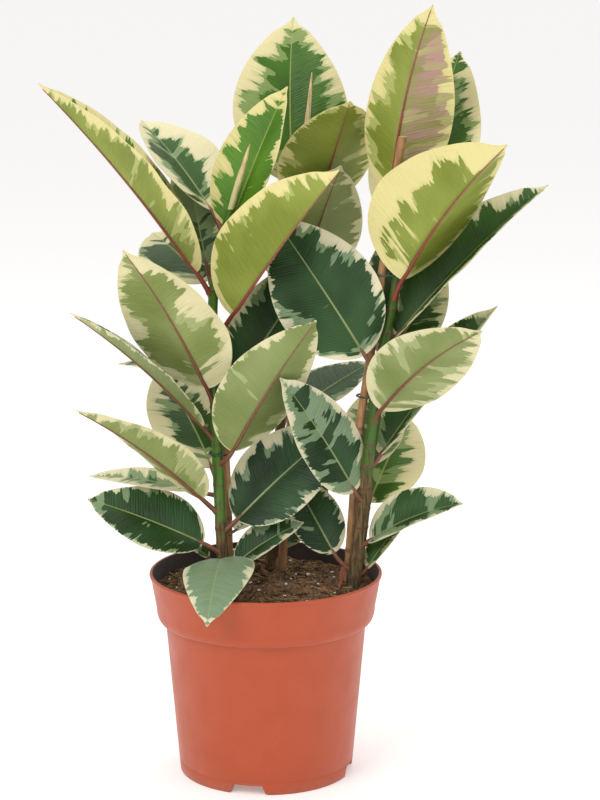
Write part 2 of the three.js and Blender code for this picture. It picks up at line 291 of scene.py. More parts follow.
def paint(verts: Sequence[BMVert], index: int) -> None:
    """Gives every face that touches these vertices one material."""
    for face in {f for v in verts for f in v.link_faces}:
        face.material_index = index


def pot_axis() -> Vector:
    """Middle of the pot on the table, in the row frame, in metres."""
    low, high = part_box("pot")
    return Vector(((low.x + high.x) / 2, (low.y + high.y) / 2, 0))


def finish_piece(
    bm: BMesh, name: str, node: str, slot: Slot, materials: Sequence[Material], crease: float = 40
) -> Object:
    """Turns a mesh in millimetres about the pot's axis into a piece that stands for a CAD node.

    Args:
        bm: the mesh, which is used up.
        name: name of the piece.
        node: CAD node that it stands for.
        slot: material slot of the record; not used.
        materials: materials in the order of the faces' numbers.
        crease: angle in degrees past which an edge is sharp.

    Returns:
        The piece.
    """
    bmesh.ops.recalc_face_normals(bm, faces=bm.faces)
    bmesh.ops.scale(bm, vec=(MM, MM, MM), verts=bm.verts)
    bmesh.ops.translate(bm, vec=pot_axis(), verts=bm.verts)
    for face in bm.faces:
        face.smooth = True
    mesh = bpy.data.meshes.new(name)
    bm.to_mesh(mesh)
    bm.free()
    mesh.set_sharp_from_angle(angle=math.radians(crease))
    for material in materials:
        mesh.materials.append(material)
    piece = bpy.data.objects.new(name, mesh)
    bpy.context.scene.collection.objects.link(piece)
    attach(piece, "root")
    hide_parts(node)
    log.info("%s: %d faces", name, len(mesh.polygons))
    return piece


# ---- finishes ------------------------------------------------------------------------------
@dataclass(frozen=True)
class MouldedPolypropylene:
    """Moulded polypropylene: satin skin with faint flow marks, fine specks and a scuffed foot.

    The specks and the mould's grain are drawn coarser than the real ones, so that they show.
    """

    name: str = "moulded_polypropylene"
    body: str = "#B0471D"
    deep: str = "#9F3F1B"
    speck: str = "#8A3A24"
    dust: str = "#8C6B52"
    mottle_mm: float = 22.0
    speck_mm: float = 0.9
    grain_mm: float = 0.5
    smear_mm: float = 11.1

    def material(self) -> Material:
        """Builds the material.

        Returns:
            The material.
        """
        made, tree = blank(self.name)
        at = add(tree, "TexCoord", out="Object")
        xyz = add(tree, "SeparateXYZ", {0: at}).node.outputs
        mottle = add(tree, "TexNoise", {"Vector": at, "Scale": cells(self.mottle_mm), "Detail": 4.0})
        base = tint(tree, mottle, (0.3, 0.72), (self.body, self.deep), (0.0, 0.3))
        grit = add(tree, "TexNoise", {"Vector": at, "Scale": cells(self.speck_mm), "Detail": 1.0})
        base = tint(tree, grit, (0.68, 0.74), (base, self.speck), (0.0, 0.55))
        low = add(tree, "MapRange", {0: xyz[2], 1: 0.0, 2: 0.03, 3: 0.62, 4: 0.0})
        streaks = {"Vector": at, "Scale": cells(self.smear_mm), "Detail": 6.0, "Roughness": 0.7}
        smear = add(tree, "TexNoise", streaks)
        dirt = add(tree, "Math", {0: low, 1: smear}, operation="MULTIPLY")
        base = tint(tree, dirt, (0.2, 0.42), (base, self.dust), (0.0, 0.5))
        rough = add(tree, "MapRange", {0: mottle, 1: 0.3, 2: 0.7, 3: 0.42, 4: 0.56})
        grain = add(tree, "TexNoise", {"Vector": at, "Scale": cells(self.grain_mm), "Detail": 2.0})
        bump = add(tree, "Bump", {"Strength": 0.12, "Distance": 0.0004, "Height": grain})
        skin = {"IOR": 1.49, "Sheen Weight": 0.12}
        close(tree, {"Base Color": base, "Roughness": rough, "Normal": bump, **skin})
        return made


@dataclass(frozen=True)
class PeatMix:
    """Damp sphagnum peat: crumbly, almost black where wet, warm brown where the top has dried."""

    wet: str = "#2B1D14"
    dry: str = "#8A6540"
    fleck: str = "#B8935F"
    clod_mm: float = 9.0
    crumb_mm: float = 1.6
    fleck_mm: float = 0.714

    def material(self) -> Material:
        """Builds the material.

        Returns:
            The material.
        """
        made, tree = blank("peat_mix")
        at = add(tree, "TexCoord", out="Object")
        clods = add(tree, "TexNoise", {"Vector": at, "Scale": cells(self.clod_mm), "Detail": 3.0})
        crumbly = {"Vector": at, "Scale": cells(self.crumb_mm), "Detail": 5.0, "Roughness": 0.7}
        crumbs = add(tree, "TexNoise", crumbly)
        both = add(tree, "Math", {0: clods, 1: crumbs}, operation="MULTIPLY")
        base = tint(tree, both, (0.18, 0.36), (self.wet, self.dry))
        fine = add(tree, "TexNoise", {"Vector": at, "Scale": cells(self.fleck_mm), "Detail": 2.0})
        base = tint(tree, fine, (0.6, 0.68), (base, self.fleck), (0.0, 0.8))
        bump = add(tree, "Bump", {"Strength": 0.8, "Distance": 0.0012, "Height": crumbs})
        close(tree, {"Base Color": base, "Roughness": 0.93, "Normal": bump})
        return made


@dataclass(frozen=True)
class Scrap:
    """A mottled matt skin: expanded perlite, tan fibre, a dried leaf sheath or sawn bamboo."""

    name: str
    pale: str
    dark: str
    mottle_mm: float = 1.2

    def material(self) -> Material:
        """Builds the material.

        Returns:
            The material.
        """
        made, tree = blank(self.name)
        at = add(tree, "TexCoord", out="Object")
        spots = add(tree, "TexNoise", {"Vector": at, "Scale": cells(self.mottle_mm), "Detail": 3.0})
        base = tint(tree, spots, (0.36, 0.66), (self.pale, self.dark))
        bump = add(tree, "Bump", {"Strength": 0.5, "Distance": 0.0003, "Height": spots})
        close(tree, {"Base Color": base, "Roughness": 0.9, "Normal": bump})
        return made


@dataclass(frozen=True)
class StemSkin:
    """Living stem: waxy green skin, cracked bark creeping up from the soil, brown leaf-scar rings."""

    green: str = "#4E7A18"
    # dark green of the fibre streaks, and of the painted shade drawn on a shaded stem
    shade: str = "#2F4A10"
    bark: str = "#75603A"
    crack: str = "#43331F"
    scar: str = "#5A4326"
    blotch_mm: float = 9.09
    fibre_mm: tuple[float, float, float] = (1.92, 1.92, 16.7)

    def material(self) -> Material:
        """Builds the material.

        Attribute "stem" holds millimetres above the bark's top, millimetres to a ring, and the stem's share of
        painted shade.

        Returns:
            The material.
        """
        made, tree = blank("stem_skin")
        at = add(tree, "TexCoord", out="Object")
        part = parts(tree, "stem")
        fibre = strands(tree, at, self.fibre_mm, 4.0)
        blotch = add(tree, "TexNoise", {"Vector": at, "Scale": cells(self.blotch_mm), "Detail": 4.0})
        # painted shade: the green skin is drawn darker by the stem's share of shade
        skin = add(tree, "Mix", {0: part[2], 6: self.green, 7: self.shade}, 2, data_type="RGBA")
        skin = tint(tree, fibre, (0.35, 0.7), (skin, self.shade), (0.0, 0.5))
        wood = tint(tree, fibre, (0.4, 0.62), (self.bark, self.crack))
        edge = add(tree, "Math", {0: blotch, 1: -90.0, 2: part[0]}, operation="MULTIPLY_ADD")
        woody = add(tree, "MapRange", {0: edge, 1: -60.0, 2: -36.0, 3: 1.0, 4: 0.0})
        base = add(tree, "Mix", {0: woody, 6: skin, 7: wood}, 2, data_type="RGBA")
        base = tint(tree, part[1], (0.5, 1.8), (base, self.scar), (0.85, 0.0))
        rough = add(tree, "MapRange", {0: woody, 3: 0.42, 4: 0.85})
        bump = add(tree, "Bump", {"Strength": 0.5, "Distance": 0.0005, "Height": fibre})
        close(tree, {"Base Color": base, "Roughness": rough, "Normal": bump})
        return made


@dataclass(frozen=True)
class BambooCane:
    """Dried bamboo: hard waxy rind with fine lengthwise fibres, darker at the nodes."""

    rind: str = "#B98A5C"
    fibre: str = "#8A6038"
    node: str = "#5E432A"
    stain: str = "#7A5A3C"
    stain_mm: float = 14.3
    fibre_mm: tuple[float, float, float] = (0.769, 0.769, 45.5)

    def material(self) -> Material:
        """Builds the material; the second part of attribute "stem" holds millimetres to a node.

        Returns:
            The material.
        """
        made, tree = blank("bamboo_rind")
        at = add(tree, "TexCoord", out="Object")
        part = parts(tree, "stem")
        fibres = strands(tree, at, self.fibre_mm, 3.0)
        base = tint(tree, fibres, (0.36, 0.66), (self.rind, self.fibre), (0.0, 0.75))
        spots = add(tree, "TexNoise", {"Vector": at, "Scale": cells(self.stain_mm), "Detail": 5.0})
        base = tint(tree, spots, (0.52, 0.7), (base, self.stain), (0.0, 0.6))
        base = tint(tree, part[1], (0.4, 2.6), (base, self.node), (0.8, 0.0))
        bump = add(tree, "Bump", {"Strength": 0.3, "Distance": 0.0003, "Height": fibres})
        close(tree, {"Base Color": base, "Roughness": 0.5, "Normal": bump})
        return made


@dataclass(frozen=True)
class CoatedWire:
    """PVC-coated garden wire: dark green, smooth, slightly scuffed."""

    coat: str = "#1E3A2A"
    scuff: str = "#35543F"
    scuff_mm: float = 2.38

    def material(self) -> Material:
        """Builds the material.

        Returns:
            The material.
        """
        made, tree = blank("pvc_coated_wire")
        at = add(tree, "TexCoord", out="Object")
        wear = add(tree, "TexNoise", {"Vector": at, "Scale": cells(self.scuff_mm), "Detail": 3.0})
        base = tint(tree, wear, (0.45, 0.7), (self.coat, self.scuff))
        rough = add(tree, "MapRange", {0: wear, 3: 0.3, 4: 0.6})
        bump = add(tree, "Bump", {"Strength": 0.15, "Distance": 0.0002, "Height": wear})
        close(tree, {"Base Color": base, "Roughness": rough, "Normal": bump, "IOR": 1.53})
        return made


@dataclass(frozen=True)
class LeafFace:
    """One face of a variegated leaf.

    The green middle meets the cream margin in ragged fingers that follow the side veins, with a
    paler grey-green between them. Each pair of colours is a young leaf's and an old one's. Gloss is
    the roughness of the waxy skin, and shine how strongly it mirrors. Teeth and hairs are the fine
    streaks along the side veins, drawn coarser than the real ones, so that they show.
    """

    name: str
    green: tuple[str, str]
    light: tuple[str, str]
    patch: tuple[str, str]
    cream: tuple[str, str]
    rib: tuple[str, str]
    gloss: float
    shine: float = 0.32
    vein_mm: float = 2.6
    finger_mm: float = 9.0
    tooth_mm: float = 1.7
    drift_mm: float = 42.0
    spot_mm: float = 15.0
    hair_mm: float = 0.8
    vein_slant: float = 0.42
    flush: str = "#B08A80"

    def material(self) -> Material:
        """Builds the material.

        Attribute "blade" holds millimetres across, along and in from the edge; "kind" holds seed,
        age and blush; "trim" holds margin, patchiness and share along.

        Returns:
            The material.
        """
        made, tree = blank(self.name)
        across, along, edge = parts(tree, "blade")
        seed, age, blush = parts(tree, "kind")
        margin, patchy, share = parts(tree, "trim")
        side = add(tree, "Math", {0: across}, operation="ABSOLUTE")
        vein = add(tree, "Math", {0: side, 1: -self.vein_slant, 2: along}, operation="MULTIPLY_ADD")

        def along_veins(run: float, reach: float, shift: float, detail: float = 2.0) -> NodeSocket:
            """Noise drawn out along the side veins, run mm across them and reach mm along them.

            Args:
                run: size across the veins, in millimetres.
                reach: size along them.
                shift: number that keeps one pattern apart from another.
                detail: levels of finer noise.

            Returns:
                The noise.
            """
            u = add(tree, "Math", {0: vein, 1: 1 / run}, operation="MULTIPLY")
            v = add(tree, "Math", {0: across, 1: 1 / reach}, operation="MULTIPLY")
            w = add(tree, "Math", {0: seed, 1: 7.3, 2: shift}, operation="MULTIPLY_ADD")
            at = add(tree, "CombineXYZ", {0: u, 1: v, 2: w})
            return add(tree, "TexNoise", {"Vector": at, "Scale": 1.0, "Detail": detail})

        finger = along_veins(self.finger_mm, 60.0, 0.0, 3.0)
        tooth = along_veins(self.tooth_mm, 22.0, 20.0)
        drift = along_veins(self.drift_mm, 40.0, 40.0, 1.0)
        spots = along_veins(self.spot_mm, 40.0, 60.0, 2.0)
        hair = along_veins(self.hair_mm, 14.0, 80.0, 1.0)

        # The cream margin's inner edge: its mean width, moved in and out by fingers and teeth.
        swing = add(tree, "MapRange", {0: finger, 1: 0.4, 2: 0.6, 3: -0.85, 4: 0.85})
        slow = add(tree, "MapRange", {0: drift, 1: 0.3, 2: 0.7, 3: 0.3, 4: 1.6}, clamp=False)
        wide = add(tree, "Math", {0: margin, 1: slow}, operation="MULTIPLY")
        reach = add(tree, "Math", {0: wide, 1: self.finger_mm}, operation="MINIMUM")
        border = add(tree, "Math", {0: swing, 1: reach, 2: wide}, operation="MULTIPLY_ADD")
        teeth = add(tree, "MapRange", {0: tooth, 1: 0.3, 2: 0.7, 3: -1.7, 4: 1.7}, clamp=False)
        border = add(tree, "Math", {0: border, 1: teeth}, operation="ADD")
        inside = add(tree, "Math", {0: edge, 1: border}, operation="SUBTRACT")
        is_green = add(tree, "MapRange", {0: inside, 1: -0.25, 2: 0.35})

        # Paler patches: likeliest next to the margin, and everywhere on a patchy leaf.
        near = add(tree, "MapRange", {0: inside, 1: 0.0, 2: 16.0, 3: 0.1, 4: -0.06})
        level = add(tree, "Math", {0: patchy, 1: 0.3, 2: near}, operation="MULTIPLY_ADD")
        score = add(tree, "Math", {0: spots, 1: level}, operation="ADD")
        jag = add(tree, "Math", {0: tooth, 1: 0.1, 2: score}, operation="MULTIPLY_ADD")
        is_patch = add(tree, "MapRange", {0: jag, 1: 0.69, 2: 0.705})

        def by_age(pair: tuple[str, str]) -> NodeSocket:
            """Colour between its young and its old value."""
            return add(tree, "Mix", {0: age, 6: pair[0], 7: pair[1]}, 2, data_type="RGBA")

        body = tint(tree, drift, (0.34, 0.66), (by_age(self.green), by_age(self.light)))
        body = add(tree, "Mix", {0: is_patch, 6: body, 7: by_age(self.patch)}, 2, data_type="RGBA")

        # Side veins: thin paler lines, a little wavy.
        phase = add(tree, "Math", {0: vein, 1: math.tau / self.vein_mm}, operation="MULTIPLY")
        phase = add(tree, "Math", {0: drift, 1: 9.0, 2: phase}, operation="MULTIPLY_ADD")
        wave = add(tree, "Math", {0: phase}, operation="SINE")
        line = add(tree, "MapRange", {0: wave, 1: 0.5, 2: 1.0, 4: 0.055}, interpolation_type="SMOOTHSTEP")
        body = add(tree, "Mix", {0: line, 6: body, 7: by_age(self.rib)}, 2, data_type="RGBA")
        body = tint(tree, hair, (0.35, 0.7), (body, by_age(self.light)), (0.0, 0.22))

        # Blush: new leaves flush pink-brown on the half that faced the light.
        flush = add(tree, "MapRange", {0: across, 1: -6.0, 2: 10.0, 3: 0.0, 4: 0.9})
        flush = add(tree, "Math", {0: flush, 1: blush}, operation="MULTIPLY")
        band = add(tree, "MapRange", {0: finger, 1: 0.35, 2: 0.6, 3: 0.25, 4: 1.0})
        flush = add(tree, "Math", {0: flush, 1: band}, operation="MULTIPLY")
        body = add(tree, "Mix", {0: flush, 6: body, 7: self.flush}, 2, data_type="RGBA")

        cream = tint(tree, inside, (-7.0, 0.0), (by_age(self.cream), by_age(self.patch)), (0.0, 0.35))
        base = add(tree, "Mix", {0: is_green, 6: cream, 7: body}, 2, data_type="RGBA")
        thin = add(tree, "MapRange", {0: share, 3: 1.0, 4: 0.25})
        off = add(tree, "Math", {0: side, 1: thin}, operation="SUBTRACT")
        base = tint(tree, off, (-0.4, 0.4), (base, by_age(self.rib)), (0.85, 0.0))

        ridge = add(tree, "Math", {0: tooth, 1: 1.5, 2: hair}, operation="MULTIPLY_ADD")
        swell = add(tree, "Math", {0: wave, 1: 0.08, 2: ridge}, operation="MULTIPLY_ADD")
        bump = add(tree, "Bump", {"Strength": 0.5, "Distance": 0.0008, "Height": swell})
        rough = add(tree, "MapRange", {0: drift, 1: 0.3, 2: 0.7, 3: self.gloss - 0.05, 4: self.gloss + 0.07})
        cuticle = {"IOR": 1.45, "Specular IOR Level": self.shine}
        close(tree, {"Base Color": base, "Roughness": rough, "Normal": bump, **cuticle})
        return made


@dataclass(frozen=True)
class LeafStalk:
    """Petiole and midrib: smooth and waxy, red-brown on a young leaf, duller on an old one."""

    young: str = "#8E3830"
    old: str = "#7C5038"
    tip: str = "#A8705A"
    shade: str = "#5A2F22"
    spot_mm: float = 3.85

    def material(self) -> Material:
        """Builds the material; attributes as on the leaf's faces.

        Returns:
            The material.
        """
        made, tree = blank("leaf_stalk")
        at = add(tree, "TexCoord", out="Object")
        kind, trim = parts(tree, "kind"), parts(tree, "trim")
        base = add(tree, "Mix", {0: kind[1], 6: self.young, 7: self.old}, 2, data_type="RGBA")
        base = tint(tree, trim[2], (0.2, 1.0), (base, self.tip), (0.0, 0.6))
        spots = add(tree, "TexNoise", {"Vector": at, "Scale": cells(self.spot_mm), "Detail": 3.0})
        base = tint(tree, spots, (0.4, 0.7), (base, self.shade), (0.0, 0.4))
        bump = add(tree, "Bump", {"Strength": 0.2, "Distance": 0.0003, "Height": spots})
        close(tree, {"Base Color": base, "Roughness": 0.42, "Normal": bump})
        return made


@dataclass(frozen=True)
class LeafSheath:
    """The papery sheath round a new leaf: cream and pink, ribbed lengthwise."""

    pale: str = "#DCD39A"
    flush: str = "#B4694E"
    rib_mm: tuple[float, float, float] = (1.11, 1.11, 25.0)

    def material(self) -> Material:
        """Builds the material; attribute "stem" holds the share along as its first part.

        Returns:
            The material.
        """
        made, tree = blank("leaf_sheath_skin")
        at = add(tree, "TexCoord", out="Object")
        part = parts(tree, "stem")
        rib = strands(tree, at, self.rib_mm, 3.0)
        tone = add(tree, "MapRange", {0: rib, 1: 0.35, 2: 0.68})
        mask = add(tree, "Math", {0: tone, 1: part[0]}, operation="MULTIPLY")
        base = add(tree, "Mix", {0: mask, 6: self.pale, 7: self.flush}, 2, data_type="RGBA")
        bump = add(tree, "Bump", {"Strength": 0.3, "Distance": 0.0003, "Height": rib})
        close(tree, {"Base Color": base, "Roughness": 0.45, "Normal": bump})
        return made


@dataclass(frozen=True)
class PaperSweep:
    """Matt white paper that the pot stands on, with the faint tooth of its surface."""

    white: str = "#F6F5F3"
    glow: float = 0.28
    tooth_mm: float = 3.33

    def material(self) -> Material:
        """Builds the material.

        Returns:
            The material.
        """
        made, tree = blank("paper_sweep")
        at = add(tree, "TexCoord", out="Object")
        tooth = add(tree, "TexNoise", {"Vector": at, "Scale": cells(self.tooth_mm), "Detail": 2.0})
        bump = add(tree, "Bump", {"Strength": 0.03, "Distance": 0.0005, "Height": tooth})
        lit = {"Emission Color": self.white, "Emission Strength": self.glow}
        close(tree, {"Base Color": self.white, "Roughness": 0.95, "Normal": bump, **lit})
        return made


# ---- pot and soil --------------------------------------------------------------------------
@dataclass
class NurseryPot:
    """Pot with a rolled rim, a deep collar, a tapered body and a notched foot ring. Millimetres."""

    height: float = 185.0
    rim: float = 105.0
    foot: float = 78.4
    wall: float = 1.8
    bead_height: float = 3.2
    bead_out: float = 1.2
    collar_height: float = 44.0
    collar_taper: float = 5.0
    shoulder_drop: float = 12.0
    shoulder_step: float = 8.0
    foot_band: float = 11.0
    floor_raise: float = 9.0
    floor_thick: float = 2.0
    notches: int = 4
    notch_turn: float = -101.5
    notch_wide: float = 30.0
    notch_high: float = 8.6
    sides: int = 180

    @property
    def step(self) -> float:
        """Height of the step under the collar."""
        return self.height - self.collar_height

    @property
    def collar_foot(self) -> float:
        """Outside radius of the collar at its shoulder."""
        return self.rim - self.bead_out - self.collar_taper

    def body_radius(self, z: float) -> float:
        """Outside radius of the straight body at a height."""
        return mix(self.foot, self.collar_foot - self.shoulder_step, z / self.step)

    def profile(self) -> list[tuple[float, float]]:
        """Radius and height round the wall's section, from the middle below to the middle of the floor.

        Returns:
            Radius and height of each point.
        """
        top = self.rim - self.bead_out
        under = self.step + self.shoulder_drop
        band, soften = self.foot_band, 0.9
        points = [(0, self.floor_raise), (self.foot - 9, self.floor_raise)]
        points += [(self.foot - 6, 0.6), (self.foot - 5.2, 0), (self.foot - 0.7, 0), (self.foot, 0.7)]
        points += [(self.body_radius(band - soften), band - soften), (self.body_radius(band) - 0.45, band)]
        points += [(self.body_radius(band + soften), band + soften)]
        for k in range(1, 8):
            z = mix(band + soften, self.step - 1.5, k / 7)
            points.append((self.body_radius(z), z))
        points.append((self.body_radius(self.step) + 0.3, self.step))
        overhang = self.shoulder_step * 0.62
        for k in range(1, 9):
            turn = math.pi / 2 * k / 8
            rise = self.shoulder_drop * (1 - math.cos(turn))
            points.append((self.collar_foot - overhang + overhang * math.sin(turn), self.step + 0.2 + rise))
        for k in range(1, 5):
            z = mix(under, self.height - self.bead_height, k / 4)
            points.append((mix(self.collar_foot, top, k / 4), z))
        bead = self.bead_height / 2
        for k in range(9):
            turn = -math.pi / 2 + math.pi * k / 8
            out = self.bead_out * math.cos(turn) * 0.98
            points.append((top + out, self.height - bead + bead * math.sin(turn)))
        points += [(top - self.wall * 0.8, self.height - 0.25), (top - self.wall, self.height - 1.2)]
        points.append((self.collar_foot - self.wall, under))
        points.append((self.body_radius(self.step) - self.wall, self.step - 1))
        floor = self.floor_raise + self.floor_thick
        points += [(self.body_radius(floor) - self.wall, floor), (0, floor)]
        return points

    def is_lining(self, place: Vector) -> bool:
        """Whether a place lies on the inside of the collar.

        Args:
            place: place, in millimetres from the pot's axis.

        Returns:
            True on the inside of the collar.
        """
        under = self.step + self.shoulder_drop
        up = (place.z - under) / (self.height - under)
        skin = mix(self.collar_foot, self.rim - self.bead_out, up)
        return up > 0 and math.hypot(place.x, place.y) < skin - self.wall * 0.6

    def build(self) -> Object:
        """Spins the section, lifts the foot ring at the notches and dresses the pot, dark on the inside.

        Returns:
            The piece.
        """
        bm = bmesh.new()
        verts = [bm.verts.new((r, 0, z)) for r, z in self.profile()]
        edges = [bm.edges.new(pair) for pair in zip(verts, verts[1:])]
        whole = {"cent": (0, 0, 0), "axis": (0, 0, 1), "angle": math.tau, "steps": self.sides}
        bmesh.ops.spin(bm, geom=verts + edges, use_merge=True, **whole)
        bmesh.ops.remove_doubles(bm, verts=bm.verts, dist=1e-3)
        half = math.degrees(self.notch_wide / 2 / self.foot)
        for vert in bm.verts:
            ring = math.hypot(vert.co.x, vert.co.y)
            if vert.co.z > 2 or ring < self.foot - 8:
                continue
            turned = math.degrees(math.atan2(vert.co.y, vert.co.x)) - self.notch_turn
            off = abs((turned + 180 / self.notches) % (360 / self.notches) - 180 / self.notches)
            vert.co.z = mix(self.notch_high, vert.co.z, smooth(half - 1, half + 1, off))
        for face in bm.faces:
            face.material_index = int(self.is_lining(face.calc_center_median()))
        lining = MouldedPolypropylene("dark_lining", body="#26140A", deep="#1A0D06", speck="#120A06")
        looks = [MouldedPolypropylene().material(), lining.material()]
        return finish_piece(bm, "pot_shell", "pot", Slot.POT, looks, 50)


@dataclass
class PottingSoil:
    """Peat, perlite and fibre filling the pot to a little below its rim. Millimetres."""

    pot: NurseryPot
    level: float = 170.4
    rise: float = 3.0
    gap: float = 0.5
    faces: int = 150
    clod: float = 12.0
    clod_high: float = 2.1
    grain: float = 2.2
    grain_high: float = 0.9
    crumbs: int = 620
    perlite: int = 85
    fibres: int = 420
    seed: int = 7

    @property
    def reach(self) -> float:
        """Radius of the soil's top."""
        return self.pot.collar_foot - self.pot.wall - self.gap + 2

    def top(self, x: float, y: float) -> float:
        """Height of the soil's surface at a place.

        Args:
            x: millimetres to the right of the pot's axis.
            y: millimetres behind it.

        Returns:
            Height above the table.
        """
        ring = math.hypot(x, y) / self.reach
        swell = self.rise * (1 - smooth(0.2, 1.0, ring))
        rough = noise.fractal(Vector((x / self.clod, y / self.clod, 3.0)), 0.8, 2.1, 4) * self.clod_high
        grain = noise.noise(Vector((x / self.grain, y / self.grain, 9.0))) * self.grain_high
        return self.level + swell + rough + grain

    def surface(self, bm: BMesh) -> None:
        """Adds the rough top and the plug of soil below it.

        Args:
            bm: mesh to add to.
        """

        def place(x: float, y: float, vert: BMVert) -> Vector:
            """Wraps the square grid onto a disc.

            Args:
                x: share across the grid.
                y: share along it.
                vert: the vertex; not used.

            Returns:
                Its place.
            """
            u, v = 2 * x - 1, 2 * y - 1
            if abs(u) < 1e-9 and abs(v) < 1e-9:
                return Vector((0, 0, self.top(0, 0)))
            if abs(u) > abs(v):
                ring, turn = u, math.pi / 4 * v / u
            else:
                ring, turn = v, math.pi / 2 - math.pi / 4 * u / v
            px, py = ring * self.reach * math.cos(turn), ring * self.reach * math.sin(turn)
            return Vector((px, py, self.top(px, py)))

        sheet(bm, self.faces, self.faces, place)
        rim = [e for e in bm.edges if e.is_boundary]
        pot = self.pot
        floor = pot.floor_raise + pot.floor_thick + self.gap
        for z, ring in (
            (pot.step + pot.shoulder_drop, pot.collar_foot),
            (pot.step - 1, pot.body_radius(pot.step)),
            (floor, pot.body_radius(floor)),
        ):
            made = bmesh.ops.extrude_edge_only(bm, edges=rim)["geom"]
            rim = [e for e in made if isinstance(e, bmesh.types.BMEdge)]
            for vert in {v for e in rim for v in e.verts}:
                out = Vector((vert.co.x, vert.co.y, 0)).normalized() * (ring - pot.wall - self.gap)
                vert.co = out + Vector((0, 0, z))
        bmesh.ops.holes_fill(bm, edges=rim, sides=0)

    def scatter(self, bm: BMesh) -> None:
        """Lays crumbs, perlite and fibres on the top.

        Args:
            bm: mesh to add to.
        """
        chance = random.Random(self.seed)

        def spot() -> tuple[float, float]:
            """A place on the top, evenly spread."""
            ring, turn = math.sqrt(chance.random()) * (self.reach - 4), chance.random() * math.tau
            return ring * math.cos(turn), ring * math.sin(turn)

        for index, count, low, high in ((0, self.crumbs, 0.9, 2.9), (1, self.perlite, 0.5, 2.1)):
            for _ in range(count):
                x, y = spot()
                size = mix(low, high, chance.random() ** 2)
                made = bmesh.ops.create_icosphere(bm, subdivisions=1, radius=size)["verts"]
                squash = Vector([chance.uniform(*span) for span in ((0.7, 1.3), (0.7, 1.3), (0.5, 0.9))])
                at = Vector((x, y, self.top(x, y) + size * 0.25))
                for vert in made:
                    vert.co = vert.co * chance.uniform(0.8, 1.2) * squash.length / 1.6
                    vert.co = Vector((vert.co.x * squash.x, vert.co.y * squash.y, vert.co.z * squash.z)) + at
                paint(made, index)
        for _ in range(self.fibres):
            x, y = spot()
            turn, long, thick = chance.random() * math.tau, chance.uniform(4, 15), chance.uniform(0.25, 0.6)
            bend, tilt = chance.uniform(-0.4, 0.4), chance.uniform(-0.12, 0.3)

            def place(a: float, t: float, vert: BMVert) -> Vector:
                """Point of a bent, thin fibre.

                Args:
                    a: angle round the fibre.
                    t: share along it.
                    vert: the vertex; not used.

                Returns:
                    Its place.
                """
                px = x + long * (t - 0.5) * math.cos(turn + bend * t)
                py = y + long * (t - 0.5) * math.sin(turn + bend * t)
                pz = self.top(x, y) + 0.5 + long * (t - 0.5) * tilt
                return Vector((px + thick * math.cos(a), py + thick * math.cos(a), pz + thick * math.sin(a)))

            paint(sleeve(bm, 4, 4, place), 2)

    def sheaths(self, bm: BMesh) -> None:
        """Lays the dried sheaths that new leaves have dropped: curled red-brown slips.

        Args:
            bm: mesh to add to.
        """
        for x, y, turn, long, lean in (
            (66, -12, 1.25, 26, 0.9),
            (60, -24, 2.3, 17, 0.15),
            (-58, -30, 0.4, 15, 0.1),
        ):

            def place(u: float, v: float, vert: BMVert) -> Vector:
                """Point of a slip curled about its length.

                Args:
                    u: share across the slip.
                    v: share along it.
                    vert: the vertex; not used.

                Returns:
                    Its place.
                """
                wide = 2.6 * math.sin(math.pi * min(0.97, v + 0.03)) ** 0.6
                curl = (u - 0.5) * 3.4
                side = math.sin(curl) * wide
                run = long * v
                px = x + run * math.cos(lean) * math.cos(turn) - side * math.sin(turn)
                py = y + run * math.cos(lean) * math.sin(turn) + side * math.cos(turn)
                return Vector((px, py, self.top(x, y) + run * math.sin(lean) + wide * math.cos(curl) * 0.6))

            made = sheet(bm, 6, 14, place)
            faces = list({f for v in made for f in v.link_faces})
            solid = bmesh.ops.solidify(bm, geom=faces, thickness=0.4)["geom"]
            paint([g for g in solid if isinstance(g, BMVert)] + [v for v in made if v.is_valid], 3)

    def build(self) -> Object:
        """Builds the soil and dresses it.

        Returns:
            The piece.
        """
        bm = bmesh.new()
        self.surface(bm)
        self.scatter(bm)
        self.sheaths(bm)
        looks = [
            PeatMix().material(),
            Scrap("expanded_perlite", "#EDE9DF", "#BDB5A6").material(),
            Scrap("coir_fibre", "#B08E62", "#6E5234").material(),
            Scrap("dried_sheath", "#9A5A3A", "#5C3222", 3.0).material(),
        ]
        return finish_piece(bm, "soil_mix", "soil", Slot.SOIL, looks, 60)


